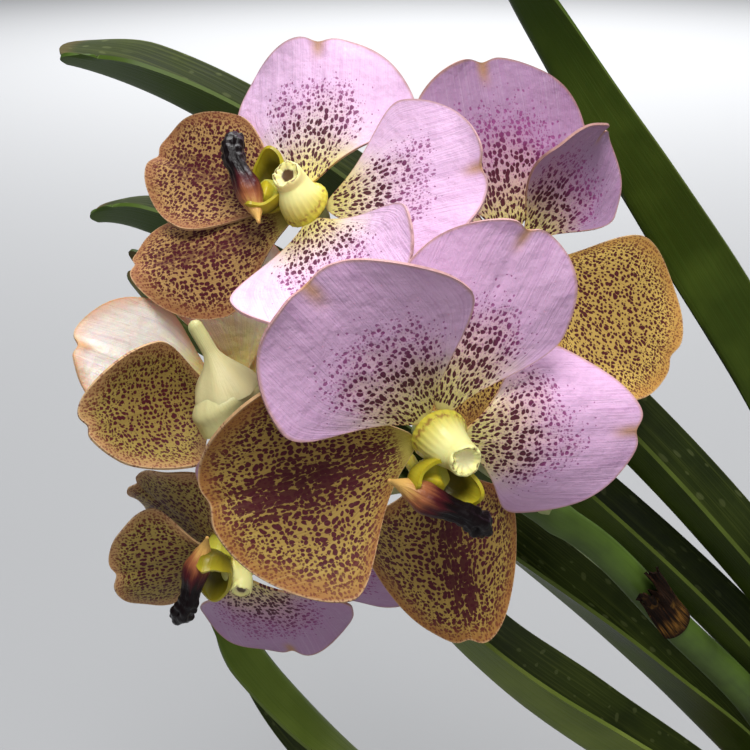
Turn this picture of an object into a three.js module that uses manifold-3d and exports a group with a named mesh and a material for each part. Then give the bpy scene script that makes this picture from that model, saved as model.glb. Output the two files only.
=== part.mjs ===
// A vanda orchid in a plain clay pot, in millimetres, +Z up, standing on z = 0 with the pot's axis on z.
// The stem carries two ranks of folded strap leaves, clasping sheaths and thick aerial roots, and one flower
// spike with five large blooms. -Y is the front, where the blooms are seen from, and +X is to the right.
import * as THREE from "three";
import { mergeVertices } from "three/addons/utils/BufferGeometryUtils.js";
import Module from "manifold-3d";

const wasm = await Module();
wasm.setup();

const GAP = 0.3; // between pieces that touch
const SHORTEST_EDGE = 0.02;
const DEG = Math.PI / 180;

// Pot and potting bark
const POT_HEIGHT = 118;
const POT_FOOT_RADIUS = 47;
const POT_MOUTH_RADIUS = 66;
const POT_WALL = 5;
const POT_RIM_BAND = 22;
const POT_RIM_PROUD = 4;
const POT_SIDES = 32;
const DRAIN_RADIUS = 5;
const DRAIN_RING = 26;
const DRAIN_COUNT = 3;
const BARK_FILL_TOP = 95;
const BARK_CLEARANCE = 0.7; // the pot's wall is flat between its corners
const CHIP_SIZE = [24, 16, 10];
const CHIP_RINGS = [
  { count: 5, radius: 21 },
  { count: 8, radius: 37 },
  { count: 11, radius: 50 },
];

// Stem
const STEM_FOOT = 84;
const STEM_RADIUS = 8.5;
const STEM_SIDES = 10;
const SHEATH_HEIGHT = 30;
const SHEATH_REACH = 13; // from the stem's axis to a sheath's mouth

// Leaves
const LEAF_THICKNESS = 1.8;
const LEAF_ROWS = 10;
const LEAF_COLUMNS = 4;
const LEAF_FOLD = 58; // how far each half of a leaf is raised from flat, in degrees

// Roots
const ROOT_RADIUS = 3.4;

// Blooms
const TEPAL_THICKNESS = 1.0;
const TEPAL_ROWS = 6;
const TEPAL_COLUMNS = 6;
const CLAW = 0.22; // share of a tepal's width that is left at its base
const HUB_RADIUS = 4.6; // the footstalk's end, which the tepals stand round

// Flower spike
const SPIKE_RADIUS = 6;
const FOOTSTALK_RADIUS = 1.9;
const SPIKE_LINE = [
  [-10, -9, 226],
  [-46, -21, 283],
  [-78, -28, 320],
  [-106, -32, 352],
  [-131, -31, 370],
  [-153, -23, 388],
  [-172, 1, 406],
  [-190, 25, 427],
];

const material = (color, roughness) => new THREE.MeshStandardMaterial({ color, roughness, metalness: 0 });
const MATERIALS = {
  clay: material(0xb5694a, 0.85),
  bark: material(0x5a3a26, 0.95),
  stem: material(0x5f7a3a, 0.6),
  leaf: material(0x3f6a2a, 0.45),
  root: material(0xa9ab98, 0.8),
  spike: material(0x55832f, 0.5),
  bract: material(0x5b3d24, 0.8),
  rose: material(0xd9a9dc, 0.5),
  tawny: material(0xb08440, 0.5),
  lip: material(0x4a1622, 0.35),
  column: material(0xf0e6a0, 0.45),
};

// Each leaf: its height on the stem, its curve's two handles and tip, its width laid flat, and how far its
// fold is rolled about its length at the base and at the tip, in degrees.
const LEAVES = [
  {
    name: "leaf_left_6", z: 300, width: 42, roll: [-40, 8],
    via: [[-48, -10, 390], [-102, 48, 443]], tip: [-144, 45, 525],
  },
  {
    name: "leaf_left_5", z: 262, width: 45, roll: [36, 4],
    via: [[-47, -6, 332], [-203, 55, 470]], tip: [-275, 55, 480],
  },
  {
    name: "leaf_left_4", z: 232, width: 40, roll: [31, -10],
    via: [[-19, 8, 279], [-228, 51, 436]], tip: [-271, 61, 425],
  },
  {
    name: "leaf_left_3", z: 200, width: 39, roll: [-12, 76],
    via: [[-70, 23, 272], [-168, 48, 339]], tip: [-262, 66, 409],
  },
  {
    name: "leaf_left_2", z: 174, width: 48, roll: [-16, 16],
    via: [[-86, -34, 268], [-144, -20, 280]], tip: [-172, 26, 320],
  },
  {
    name: "leaf_left_1", z: 140, width: 40, roll: [-16, 179],
    via: [[-116, -11, 178], [-189, -32, 265]], tip: [-223, -7, 317],
  },
  {
    name: "leaf_right_6", z: 312, width: 36, roll: [0, 0],
    via: [[54, -8, 372], [96, -30, 440]], tip: [170, -36, 486],
  },
  {
    name: "leaf_right_5", z: 280, width: 38, roll: [0, 0],
    via: [[80, -8, 348], [170, -40, 440]], tip: [276, -52, 438],
  },
  {
    name: "leaf_right_4", z: 246, width: 38, roll: [0, 0],
    via: [[80, 0, 316], [180, -18, 396]], tip: [292, -30, 372],
  },
  {
    name: "leaf_right_3", z: 216, width: 37, roll: [0, 0],
    via: [[80, 4, 278], [176, 22, 344]], tip: [286, 40, 308],
  },
  {
    name: "leaf_right_2", z: 187, width: 36, roll: [0, 0],
    via: [[80, 4, 238], [176, 30, 284]], tip: [276, 66, 234],
  },
  {
    name: "leaf_right_1", z: 157, width: 34, roll: [0, 0],
    via: [[76, -4, 200], [160, -30, 228]], tip: [250, -60, 170],
  },
];

const ROOTS = [
  { name: "root_1", points: [[-6, -6, 140], [-34, -22, 132], [-62, -36, 131], [-74, -43, 110], [-75, -50, 60], [-68, -55, 24]] },
  { name: "root_2", points: [[7, -6, 132], [32, -34, 128], [50, -56, 130], [60, -66, 112], [61, -66, 66], [66, -54, 30]] },
  { name: "root_3", points: [[7, 5, 146], [36, 20, 136], [62, 32, 133], [76, 40, 112], [80, 34, 62], [84, 24, 22]] },
  { name: "root_4", points: [[-6, 7, 126], [-24, 34, 126], [-38, 60, 131], [-43, 74, 112], [-50, 72, 70], [-66, 66, 40]] },
  { name: "root_5", points: [[2, -8, 122], [12, -26, 120], [20, -40, 112], [22, -46, 92]] },
];

// A bloom's own frame has +z the way it faces and +y towards its dorsal sepal. faces is the azimuth from the
// front, positive to the right, and the height above level; roll turns the dorsal sepal clockwise from upright;
// lipYaw turns the lip's middle lobe from straight down, tongueTilt tips it forward, and lipTilt, lipTurn and
// lipShift swing, turn and move the whole lip, which lipSize scales. columnLean is how far the column's cap stands off the middle.
// stalkFrom is where on the spike the bloom's footstalk starts.
// A tepal's turn is its direction round the bloom, pitch tips it forward, and the rest bends and twists it.
const USUAL_TEPALS = {
  dorsal_sepal: { turn: 90, length: 46, width: 42, pitch: -3, lift: -2.2, cup: 0.04, arch: 0.02 },
  petal_left: { turn: 150, length: 45, width: 48, pitch: 7, lift: 1.6, cup: -0.05, arch: 0.04 },
  petal_right: { turn: 30, length: 45, width: 48, pitch: 7, lift: 1.6, cup: -0.05, arch: 0.04 },
  lateral_sepal_left: { turn: 218, length: 50, width: 44, pitch: -4, lift: -1.4, cup: -0.05, arch: 0.03 },
  lateral_sepal_right: { turn: 322, length: 50, width: 44, pitch: -4, lift: -1.4, cup: -0.05, arch: 0.03 },
};
const BLOOMS = [
  {
    name: "bloom_1", at: [-157.6, -78.4, 412.6], faces: [17, 9], roll: 22, lipYaw: 80, stalkFrom: 0.6,
    tepals: {
      dorsal_sepal: { turn: 90, length: 48, width: 45, pitch: 2, lift: -1.6, twist: -2, cup: -0.03, arch: 0.01, sweep: -0.1 },
      petal_left: { turn: 147, length: 49, width: 50, pitch: 24, twist: -10, cup: 0.08, arch: 0.14, sweep: 0.08 },
      petal_right: { turn: 12, length: 49, width: 45, pitch: -12, twist: -14, cup: -0.3, arch: -0.16, sweep: 0.02 },
      lateral_sepal_left: { turn: 213, length: 51, width: 53, pitch: 5, twist: 2, cup: 0.22, arch: 0.04, sweep: -0.04 },
      lateral_sepal_right: { turn: 299, length: 54, width: 42, pitch: -12, twist: 12, cup: -0.4, arch: -0.16, sweep: 0.06 },
    },
  },
  {
    name: "bloom_2", at: [-190.2, -25.5, 452.9], faces: [-28, 38], roll: 90, lipYaw: -50, stalkFrom: 0.99,
    tepals: {
      dorsal_sepal: { turn: 110, length: 45, width: 46, pitch: 5, twist: 4, cup: 0.04, arch: 0.01 },
      petal_left: { turn: 191, length: 44, width: 53, pitch: 0, twist: 6, cup: -0.14, arch: -0.04, sweep: 0.05 },
      petal_right: { turn: 40, length: 44, width: 49, pitch: 25, twist: -5, cup: 0.12, arch: 0.06, sweep: 0.12 },
      lateral_sepal_left: { turn: 260, length: 52, width: 36, pitch: 2, twist: -3, cup: 0.08, arch: 0.04 },
      lateral_sepal_right: { turn: 303, length: 50, width: 38, pitch: 1, twist: 11, cup: -0.2, arch: 0, sweep: -0.12 },
    },
  },
  {
    name: "bloom_3", at: [-132.6, -13.4, 435.6], faces: [20, 22], roll: -8, lipYaw: -20, stalkFrom: 0.84,
    tepals: {
      dorsal_sepal: { turn: 83, length: 51, width: 52, pitch: 3, twist: -7, cup: 0.08, arch: 0.01, sweep: 0.04 },
      petal_left: { pitch: -22 },
      petal_right: { turn: 41, length: 38, width: 38, pitch: 16, twist: 52, cup: 0.14, arch: 0.02 },
      lateral_sepal_left: { pitch: 14 },
      lateral_sepal_right: { turn: 316, length: 56, width: 52, pitch: 0, twist: -14, cup: 0.08, arch: 0 },
    },
  },
  {
    name: "bloom_4", at: [-211, -21.8, 397.3], faces: [-145, -28], roll: 0, lipYaw: 20, stalkFrom: 0.78,
    lipSize: 1.25, lipTilt: 82, lipTurn: -16, lipShift: [16, 8, -13],
    tepals: {
      dorsal_sepal: { turn: 102, pitch: 4 },
      petal_left: { pitch: 20 },
      lateral_sepal_left: { pitch: 14 },
      petal_right: { turn: 28, length: 45, width: 38, pitch: -4, twist: 14, cup: -0.09, arch: 0.04 },
      lateral_sepal_right: { turn: 2, length: 50, width: 34, pitch: -22, twist: 4, cup: -0.26, arch: -0.03 },
    },
  },
  {
    name: "bloom_5", at: [-210.3, -50.2, 358.1], faces: [-12, -22], roll: 95, lipYaw: 76, stalkFrom: 0.68,
    lipShift: [-6.5, 4.5, 0], tongueTilt: 26, columnLean: [1, 3.6],
    tepals: {
      dorsal_sepal: { turn: 86, length: 49, width: 39, pitch: -6, cup: -0.06, arch: 0, sweep: -0.06 },
      petal_left: { turn: 154, pitch: -8 },
      petal_right: { turn: 16, length: 45, width: 49, pitch: -1, twist: -8, cup: -0.1, arch: 0.04 },
      lateral_sepal_left: { turn: 241, length: 32, width: 40, pitch: -11, twist: -14, cup: -0.1, arch: 0.04 },
      lateral_sepal_right: { turn: 270, length: 31, width: 38, pitch: 26, twist: 16, cup: -0.1, arch: 0.03 },
    },
  },
];

const vec = (x, y, z) => new THREE.Vector3(x, y, z);
const { smoothstep, mapLinear, lerp, clamp } = THREE.MathUtils;

// Solids: closed meshes in and out of the boolean library

function solidOf(geometry) {
  const bare = new THREE.BufferGeometry().setAttribute("position", geometry.getAttribute("position").clone());
  bare.setIndex(geometry.index);
  const merged = mergeVertices(bare, 1e-4);
  const mesh = new wasm.Mesh({
    numProp: 3,
    vertProperties: merged.attributes.position.array,
    triVerts: new Uint32Array(merged.index.array),
  });
  return new wasm.Manifold(mesh);
}

const joined = (geometries) => wasm.Manifold.union(geometries.map(solidOf));

// The largest body of a solid without its shortest edges, because a cut can leave scraps and slivers behind.
function geometryOf(solid) {
  const bodies = solid.simplify(SHORTEST_EDGE).decompose();
  const body = bodies.reduce((best, next) => (next.volume() > best.volume() ? next : best));
  const mesh = body.getMesh();
  const positions = new Float32Array(mesh.numVert * 3);
  for (let i = 0; i < mesh.numVert; i++) {
    positions.set(mesh.vertProperties.subarray(i * mesh.numProp, i * mesh.numProp + 3), i * 3);
  }
  return new THREE.BufferGeometry()
    .setAttribute("position", new THREE.BufferAttribute(positions, 3))
    .setIndex(new THREE.BufferAttribute(mesh.triVerts, 1));
}

function indexed(points, triangles) {
  return new THREE.BufferGeometry().setFromPoints(points).setIndex(triangles.flat());
}

// A closed skin over rings of points, capped at both ends.
function loft(rings) {
  const sides = rings[0].length;
  const triangles = [];
  for (let r = 0; r + 1 < rings.length; r++) {
    for (let k = 0; k < sides; k++) {
      const a = r * sides + k;
      const b = r * sides + ((k + 1) % sides);
      triangles.push([a, b, b + sides], [a, b + sides, a + sides]);
    }
  }
  const last = (rings.length - 1) * sides;
  for (let k = 1; k + 1 < sides; k++) {
    triangles.push([0, k + 1, k], [last, last + k, last + k + 1]);
  }
  return indexed(rings.flat(), triangles);
}

// A round rod along a curve. radius(t) is its radius at share t of the length.
function rod(curve, radius, sides, steps) {
  const frames = curve.computeFrenetFrames(steps, false);
  const rings = [];
  for (let i = 0; i <= steps; i++) {
    const at = curve.getPointAt(i / steps);
    const r = radius(i / steps);
    rings.push(
      Array.from({ length: sides }, (_, k) => {
        const angle = (2 * Math.PI * k) / sides;
        return at
          .clone()
          .addScaledVector(frames.normals[i], r * Math.cos(angle))
          .addScaledVector(frames.binormals[i], r * Math.sin(angle));
      }),
    );
  }
  return loft(rings);
}

const smoothLine = (points) => new THREE.CatmullRomCurve3(points.map((p) => vec(...p)), false, "centripetal");

// A level ring of points round (x, 0, z).
function ring(x, z, rx, ry, sides) {
  return Array.from({ length: sides }, (_, k) => {
    const angle = (2 * Math.PI * k) / sides;
    return vec(x + rx * Math.cos(angle), ry * Math.sin(angle), z);
  });
}

// A thin sheet with two faces and a rim, both faces split into triangles alike.
// surface(u, v) gives its middle, u from 0 to 1 along it and v from -1 to 1 across it.
function blade(surface, rows, columns, thickness) {
  const step = 1e-3;
  const front = [];
  const back = [];
  for (let i = 0; i <= rows; i++) {
    for (let j = 0; j <= columns; j++) {
      const u = clamp(i / rows, step, 1 - step);
      const v = clamp((2 * j) / columns - 1, step - 1, 1 - step);
      const along = surface(u + step, v).sub(surface(u - step, v));
      const across = surface(u, v + step).sub(surface(u, v - step));
      const normal = along.cross(across).normalize();
      const middle = surface(i / rows, (2 * j) / columns - 1);
      front.push(middle.clone().addScaledVector(normal, thickness / 2));
      back.push(middle.clone().addScaledVector(normal, -thickness / 2));
    }
  }
  const width = columns + 1;
  const behind = front.length;
  const triangles = [];
  for (let i = 0; i < rows; i++) {
    for (let j = 0; j < columns; j++) {
      const a = i * width + j;
      const [b, c, d] = [a + 1, a + width, a + width + 1];
      triangles.push([a, c, d], [a, d, b]);
      triangles.push([behind + a, behind + d, behind + c], [behind + a, behind + b, behind + d]);
    }
  }
  const rim = [];
  for (let j = 0; j < columns; j++) rim.push(j);
  for (let i = 0; i < rows; i++) rim.push(i * width + columns);
  for (let j = columns; j > 0; j--) rim.push(rows * width + j);
  for (let i = rows; i > 0; i--) rim.push(i * width);
  rim.forEach((a, k) => {
    const b = rim[(k + 1) % rim.length];
    triangles.push([a, b, behind + b], [a, behind + b, behind + a]);
  });
  return indexed([...front, ...back], triangles);
}

// Pot: a lathe profile closed across the foot, with drain holes cut through it

function potSolid() {
  const shoulder = POT_HEIGHT - POT_RIM_BAND;
  const wallAt = (z) => mapLinear(z, 0, POT_HEIGHT, POT_FOOT_RADIUS, POT_MOUTH_RADIUS);
  const profile = [
    [0, 0],
    [POT_FOOT_RADIUS - 1.5, 0],
    [POT_FOOT_RADIUS, 1.5],
    [wallAt(shoulder), shoulder],
    [wallAt(shoulder) + POT_RIM_PROUD, shoulder + 1.5],
    [POT_MOUTH_RADIUS + POT_RIM_PROUD, POT_HEIGHT - 2],
    [POT_MOUTH_RADIUS + POT_RIM_PROUD - 2, POT_HEIGHT],
    [POT_MOUTH_RADIUS - POT_WALL + 1, POT_HEIGHT],
    [POT_MOUTH_RADIUS - POT_WALL, POT_HEIGHT - 2],
    [POT_FOOT_RADIUS - POT_WALL, POT_WALL + 1],
    [POT_FOOT_RADIUS - POT_WALL - 3, POT_WALL],
    [0, POT_WALL],
  ].map(([r, z]) => new THREE.Vector2(r, z));
  const shell = new THREE.LatheGeometry(profile, POT_SIDES).rotateX(Math.PI / 2);
  const drains = Array.from({ length: DRAIN_COUNT }, (_, k) => {
    const turn = (2 * Math.PI * k) / DRAIN_COUNT;
    const drain = new THREE.CylinderGeometry(DRAIN_RADIUS, DRAIN_RADIUS, 3 * POT_WALL, 10).rotateX(Math.PI / 2);
    return drain.translate(DRAIN_RING * Math.cos(turn), DRAIN_RING * Math.sin(turn), 0);
  });
  return solidOf(shell).subtract(joined(drains));
}

// Bark: a filling just inside the pot's wall with rings of loose chips standing out of its top

function barkSolid() {
  const innerAt = (z) =>
    mapLinear(z, POT_WALL + 1, POT_HEIGHT - 2, POT_FOOT_RADIUS - POT_WALL, POT_MOUTH_RADIUS - POT_WALL) - BARK_CLEARANCE;
  const filledTo = (top) =>
    loft([
      ring(0, POT_WALL + GAP, innerAt(POT_WALL) - 3, innerAt(POT_WALL) - 3, POT_SIDES),
      ring(0, top, innerAt(top), innerAt(top), POT_SIDES),
    ]);
  const chips = CHIP_RINGS.flatMap(({ count, radius }, row) =>
    Array.from({ length: count }, (_, k) => {
      const turn = (2 * Math.PI * (k + 0.37 * row)) / count;
      const rock = Math.sin(7.3 * k + 2.1 * row);
      const chip = new THREE.BoxGeometry(...CHIP_SIZE);
      chip.rotateX(0.5 * rock).rotateY(0.4 * Math.cos(5.1 * k + row)).rotateZ(turn * 2.6 + rock);
      return chip.translate(radius * Math.cos(turn), radius * Math.sin(turn), BARK_FILL_TOP + 1.5 + 1.5 * rock);
    }),
  );
  return joined([filledTo(BARK_FILL_TOP), ...chips]).intersect(solidOf(filledTo(POT_HEIGHT - 3)));
}

// Leaves

function leafSurface({ z, via, tip, width, roll }) {
  const side = Math.sign(tip[0]);
  const start = vec(side * (SHEATH_REACH - 3), 0, z);
  const curve = new THREE.CubicBezierCurve3(start, vec(...via[0]), vec(...via[1]), vec(...tip));
  return (u, v) => {
    const bite = 0.015 * Math.exp(-((v / 0.3) ** 2)) + 0.012 * v + 0.04 * v ** 4; // an uneven notch between round ends
    const t = u * (1 - bite * u ** 12);
    const along = curve.getTangent(t);
    const sideways = vec(0, side, 0).applyAxisAngle(along, side * lerp(roll[0], roll[1], u) * DEG);
    sideways.addScaledVector(along, -sideways.dot(along)).normalize();
    const inward = along.clone().cross(sideways);
    const taper =
      smoothstep(u, -0.25, 0.22) * (1 - 0.22 * smoothstep(u, 0.45, 0.95)) * (1 - 0.45 * smoothstep(u, 0.9, 1.03));
    const half = (width / 2) * taper;
    const fold = LEAF_FOLD * (1.2 - 0.2 * smoothstep(u, 0, 0.3) - 0.35 * smoothstep(u, 0.75, 1)) * DEG;
    const raised = Math.sqrt(v * v + 0.01) - 0.1; // a slightly rounded keel
    return curve
      .getPoint(t)
      .addScaledVector(sideways, half * v * Math.cos(fold))
      .addScaledVector(inward, half * raised * Math.sin(fold));
  };
}

// Stem: a core with one flared sheath under each leaf. grow fattens it all round, to cut its room from others.

function stemSolid(grow = 0) {
  const heights = LEAVES.map(({ z }) => z);
  const [highest, lowest] = [Math.max(...heights), Math.min(...heights)];
  const r = STEM_RADIUS + grow;
  const core = loft([
    ring(0, STEM_FOOT - grow, r - 2, r - 2, STEM_SIDES),
    ring(0, lowest, r, r, STEM_SIDES),
    ring(0, highest - 6, r - 1, r - 1, STEM_SIDES),
    ring(0, highest + 6 + grow, r - 4, r - 4, STEM_SIDES),
  ]);
  const sheaths = LEAVES.map(({ z, tip }) => {
    const side = Math.sign(tip[0]);
    return loft([
      ring(side * 1.5, z - SHEATH_HEIGHT, r, r, STEM_SIDES),
      ring(side * 3, z + grow, SHEATH_REACH - 3 + grow, r + 1.5, STEM_SIDES),
    ]);
  });
  return joined([core, ...sheaths]);
}

// Roots: thick pale cords from the stem's foot over the pot's rim or down into the bark

function rootSolid(points, grow = 0) {
  const last = vec(...points.at(-1));
  const beyond = last.clone().sub(vec(...points.at(-2))).setLength(grow).add(last);
  const radius = (t) => ROOT_RADIUS * (1 - 0.12 * Math.cos(40 * t)) * (1 - 0.45 * smoothstep(t, 0.9, 1)) + grow;
  return solidOf(rod(smoothLine([...points.slice(0, -1), beyond.toArray()]), radius, 7, 14));
}

// Tepals: a disc drawn in to a claw at its base, then swept, cupped, waved and twisted

function tepalSurface({ length, width, cup, arch, wave = 1.3, sweep = 0, twist = 0 }) {
  return (u, v) => {
    const y = 2 * u - 1;
    const discX = v * Math.sqrt(1 - (y * y) / 2);
    const discY = y * Math.sqrt(1 - (v * v) / 2);
    const rim = discX * discX + discY * discY;
    const share = (discY + 1) / 2;
    const across = discX * (width / 2) * (CLAW + (1 - CLAW) * smoothstep(share, 0, 0.55));
    const centre = Math.exp(-((discX / 0.12) ** 2)); // the midrib's groove, ending in a notch
    const along = share * length - 1.6 * centre * smoothstep(share, 0.8, 1);
    const ruffle = wave * rim * rim * share * Math.sin(5 * Math.atan2(discX, discY));
    const height = (4 * cup * across * across) / width - arch * length * share * share + ruffle - 0.5 * centre * share;
    const angle = twist * share * DEG;
    return vec(
      along,
      sweep * length * share * share + across * Math.cos(angle) - height * Math.sin(angle),
      across * Math.sin(angle) + height * Math.cos(angle),
    );
  };
}

function tepalGeometry(form) {
  const start = HUB_RADIUS + (form.lift > 0 ? 1 : 0.4);
  const turn = form.turn * DEG;
  return blade(tepalSurface(form), TEPAL_ROWS, TEPAL_COLUMNS, TEPAL_THICKNESS)
    .rotateY(-form.pitch * DEG)
    .rotateZ(turn)
    .translate(start * Math.cos(turn), start * Math.sin(turn), form.lift);
}

// Lip: a hollowed base with a short spur behind, two upright side lobes and a long fleshy middle lobe

function lipSolid(bloom, grow = 0) {
  const { lipYaw, lipSize = 1, lipTilt = 0, lipTurn = 0, lipShift = [0, 0, 0], tongueTilt = 0 } = bloom;
  const side = Math.sign(lipYaw);
  const base = rod(smoothLine([[0, -6.2, 1.6], [0, -9.5, 4], [0, -12, 8]]), (t) => 2.6 + 1.3 * t + grow, 8, 3);
  const spur = rod(smoothLine([[0, -9, 4], [0, -10.5, -3], [0, -9.5, -12]]), (t) => 3 - 1.3 * t + grow, 6, 3);
  const lobes = [-1, 1].map((way) =>
    blade(
      (u, v) => {
        const spread = 4.8 * v * Math.sin(Math.PI * (0.2 + 0.6 * u));
        return vec(way * (2 + 5.6 * Math.sin(1.5 * u) + 1.3 * (1 - v * v)) + side, spread - 9.2, 3 + 8.5 * u);
      },
      4,
      3,
      1.2 + 2 * grow,
    ),
  );
  const tongue = smoothLine([[-13, 0, -1], [-7, 0.4, 0], [0, 0, 0.6], [8, 0.4, 1.4], [14, -0.6, 0], [17, -2, -3]]);
  const fleshy = (t) => 0.7 + 3 * smoothstep(t, 0, 0.3) - 1.2 * smoothstep(t, 0.3, 0.55)
    + 0.7 * smoothstep(t, 0.6, 0.75) - 1.4 * smoothstep(t, 0.85, 1) + grow;
  const middle = rod(tongue, fleshy, 7, 9);
  middle.rotateY(-tongueTilt * DEG).rotateZ((lipYaw - 90) * DEG).translate(0, -13, 9.8);
  const parts = [base, spur, ...lobes, middle];
  for (const part of parts) {
    part.scale(lipSize, lipSize, lipSize).rotateX(lipTilt * DEG).rotateZ(lipTurn * DEG).translate(...lipShift);
  }
  return joined(parts);
}

// Column: a stout cone over the bloom's middle, leaning over the lip, with a rounded cap at its end

function columnSolid({ lipYaw, columnLean = [3.4 * Math.sign(lipYaw), -1.6] }, grow = 0) {
  const [x, y] = columnLean;
  const line = smoothLine([[0, 0.6, GAP - grow], [0.2 * x, 0.2 * y, 3.6], [x, y, 7.6]]);
  const body = rod(line, (t) => 5.4 - 2 * t * t + grow, 10, 4);
  const cap = new THREE.SphereGeometry(3.3 + grow, 8, 6).translate(x * 1.1, y * 1.1, 8.6);
  return joined([body, cap]);
}

// Flower spike: a round stalk from a leaf's foot, with one footstalk to the back of each bloom

const STALK = smoothLine(SPIKE_LINE);
const stalkRadius = (t) => SPIKE_RADIUS * (1 - 0.4 * t);

function bloomFrame({ at, faces, roll }) {
  const [azimuth, height] = faces.map((angle) => angle * DEG);
  const level = vec(Math.cos(azimuth), Math.sin(azimuth), 0);
  const facing = vec(Math.sin(azimuth) * Math.cos(height), -Math.cos(azimuth) * Math.cos(height), Math.sin(height));
  return new THREE.Matrix4()
    .makeBasis(level, facing.clone().cross(level), facing)
    .multiply(new THREE.Matrix4().makeRotationZ(-roll * DEG))
    .setPosition(...at);
}

function spikeSolid(grow = 0) {
  const footstalks = BLOOMS.map((bloom) => {
    const frame = bloomFrame(bloom);
    const start = STALK.getPointAt(bloom.stalkFrom);
    const seat = vec(0, 0, grow - 2 * GAP).applyMatrix4(frame);
    const behind = vec(0, 0, -20).applyMatrix4(frame);
    const line = new THREE.CubicBezierCurve3(start, start.clone().lerp(behind, 0.6), behind, seat);
    return rod(line, (t) => lerp(FOOTSTALK_RADIUS, HUB_RADIUS, smoothstep(t, 0.72, 0.97)) + grow, 8, 8);
  });
  return joined([rod(STALK, (t) => stalkRadius(t) + grow, 8, 16), ...footstalks]);
}

// Bract: a dry torn scale clasping the front of the stalk

function bractGeometry() {
  const [from, to] = [0.405, 0.485];
  return blade(
    (u, v) => {
      const t = lerp(from, to, u);
      const along = STALK.getTangentAt(t);
      const outward = vec(0.35, -1, 0.5).addScaledVector(along, -vec(0.35, -1, 0.5).dot(along)).normalize();
      outward.applyAxisAngle(along, v * (95 - 40 * u) * DEG);
      const tear = 1.2 * u * Math.sin(9 * v);
      return STALK.getPointAt(t).addScaledVector(outward, stalkRadius(t) + GAP + 0.5 + 2.6 * u * u + tear * u);
    },
    6,
    6,
    0.8,
  );
}

// Assembly

const orchid = new THREE.Group();

function add(name, geometry, finish) {
  const mesh = new THREE.Mesh(geometry, finish);
  mesh.name = name;
  orchid.add(mesh);
}

const stemRoom = stemSolid(GAP);
const rootRooms = ROOTS.map(({ points }) => rootSolid(points, GAP));

add("pot", geometryOf(potSolid()), MATERIALS.clay);
add("potting_bark", geometryOf(wasm.Manifold.difference([barkSolid(), stemRoom, ...rootRooms])), MATERIALS.bark);
add("stem", geometryOf(stemSolid()), MATERIALS.stem);
for (const { name, points } of ROOTS) {
  add(name, geometryOf(rootSolid(points).subtract(stemRoom)), MATERIALS.root);
}
for (const leaf of LEAVES) {
  const solid = solidOf(blade(leafSurface(leaf), LEAF_ROWS, LEAF_COLUMNS, LEAF_THICKNESS));
  add(leaf.name, geometryOf(solid.subtract(stemRoom)), MATERIALS.leaf);
}
add("flower_spike", geometryOf(spikeSolid().subtract(stemRoom)), MATERIALS.spike);
add("spike_bract", bractGeometry(), MATERIALS.bract);

const spikeRoom = spikeSolid(GAP);
for (const bloom of BLOOMS) {
  const placed = (solid) => solid.transform(bloomFrame(bloom).elements);
  const place = (part, solid, finish) => add(`${bloom.name}_${part}`, geometryOf(placed(solid)), finish);
  const lip = placed(lipSolid(bloom)).subtract(spikeRoom);
  const column = placed(columnSolid(bloom).subtract(lipSolid(bloom, GAP))).subtract(spikeRoom);
  const taken = lipSolid(bloom, GAP).add(columnSolid(bloom, GAP));
  for (const [part, usual] of Object.entries(USUAL_TEPALS)) {
    const tepal = solidOf(tepalGeometry({ ...usual, ...bloom.tepals[part] }));
    place(part, tepal.subtract(taken), part.startsWith("lateral") ? MATERIALS.tawny : MATERIALS.rose);
  }
  add(`${bloom.name}_lip`, geometryOf(lip), MATERIALS.lip);
  add(`${bloom.name}_column`, geometryOf(column), MATERIALS.column);
}

export default orchid;
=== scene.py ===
# The looks of a potted vanda orchid: spotted blooms, strap leaves, roots, bark and a clay pot.
# Lengths are written in millimetres, as on the plant, and turned into metres when a mesh is placed.
import random
from math import atan2, copysign, cos, exp, pi, radians, sin, sqrt

import bpy
from mathutils import Matrix, Quaternion, Vector, noise

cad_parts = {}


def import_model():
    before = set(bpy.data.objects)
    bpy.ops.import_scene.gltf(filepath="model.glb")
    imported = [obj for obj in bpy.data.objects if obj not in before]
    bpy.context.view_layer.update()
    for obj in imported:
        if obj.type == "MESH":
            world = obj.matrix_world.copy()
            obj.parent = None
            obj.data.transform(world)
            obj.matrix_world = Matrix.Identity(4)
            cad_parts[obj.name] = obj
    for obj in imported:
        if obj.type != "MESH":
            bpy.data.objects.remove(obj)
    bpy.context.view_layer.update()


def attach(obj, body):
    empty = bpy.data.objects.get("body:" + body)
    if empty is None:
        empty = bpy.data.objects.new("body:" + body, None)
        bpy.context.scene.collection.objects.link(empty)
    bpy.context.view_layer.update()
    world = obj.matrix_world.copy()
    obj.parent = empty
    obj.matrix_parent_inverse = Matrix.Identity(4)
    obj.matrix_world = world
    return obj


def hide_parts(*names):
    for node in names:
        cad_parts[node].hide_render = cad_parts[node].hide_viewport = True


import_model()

MM = 0.001
GAP = 0.3
LINE_STEPS = 400
ARC_STEPS = 200

# Pot and bark
POT_HEIGHT = 118
POT_FOOT_RADIUS = 47
POT_MOUTH_RADIUS = 66
POT_WALL = 5
POT_RIM_BAND = 22
POT_RIM_PROUD = 4
DRAIN_RADIUS = 5
DRAIN_RING = 26
DRAIN_COUNT = 3
BARK_FILL_TOP = 95
BARK_SIDE = 0.45
CHIP_COUNT = 120
CHIP_TOP = 102
BARK_SEED = 7

# Stem and leaves
STEM_FOOT = 84
STEM_RADIUS = 8.5
SHEATH_HEIGHT = 30
SHEATH_REACH = 13
SHEATH_THICKNESS = 0.8
LEAF_THICKNESS = 1.4
LEAF_FOLD = 58
LIT_LEAVES = ("leaf_left_1", "leaf_left_2")

# Roots
ROOT_RADIUS = 3.4

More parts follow.
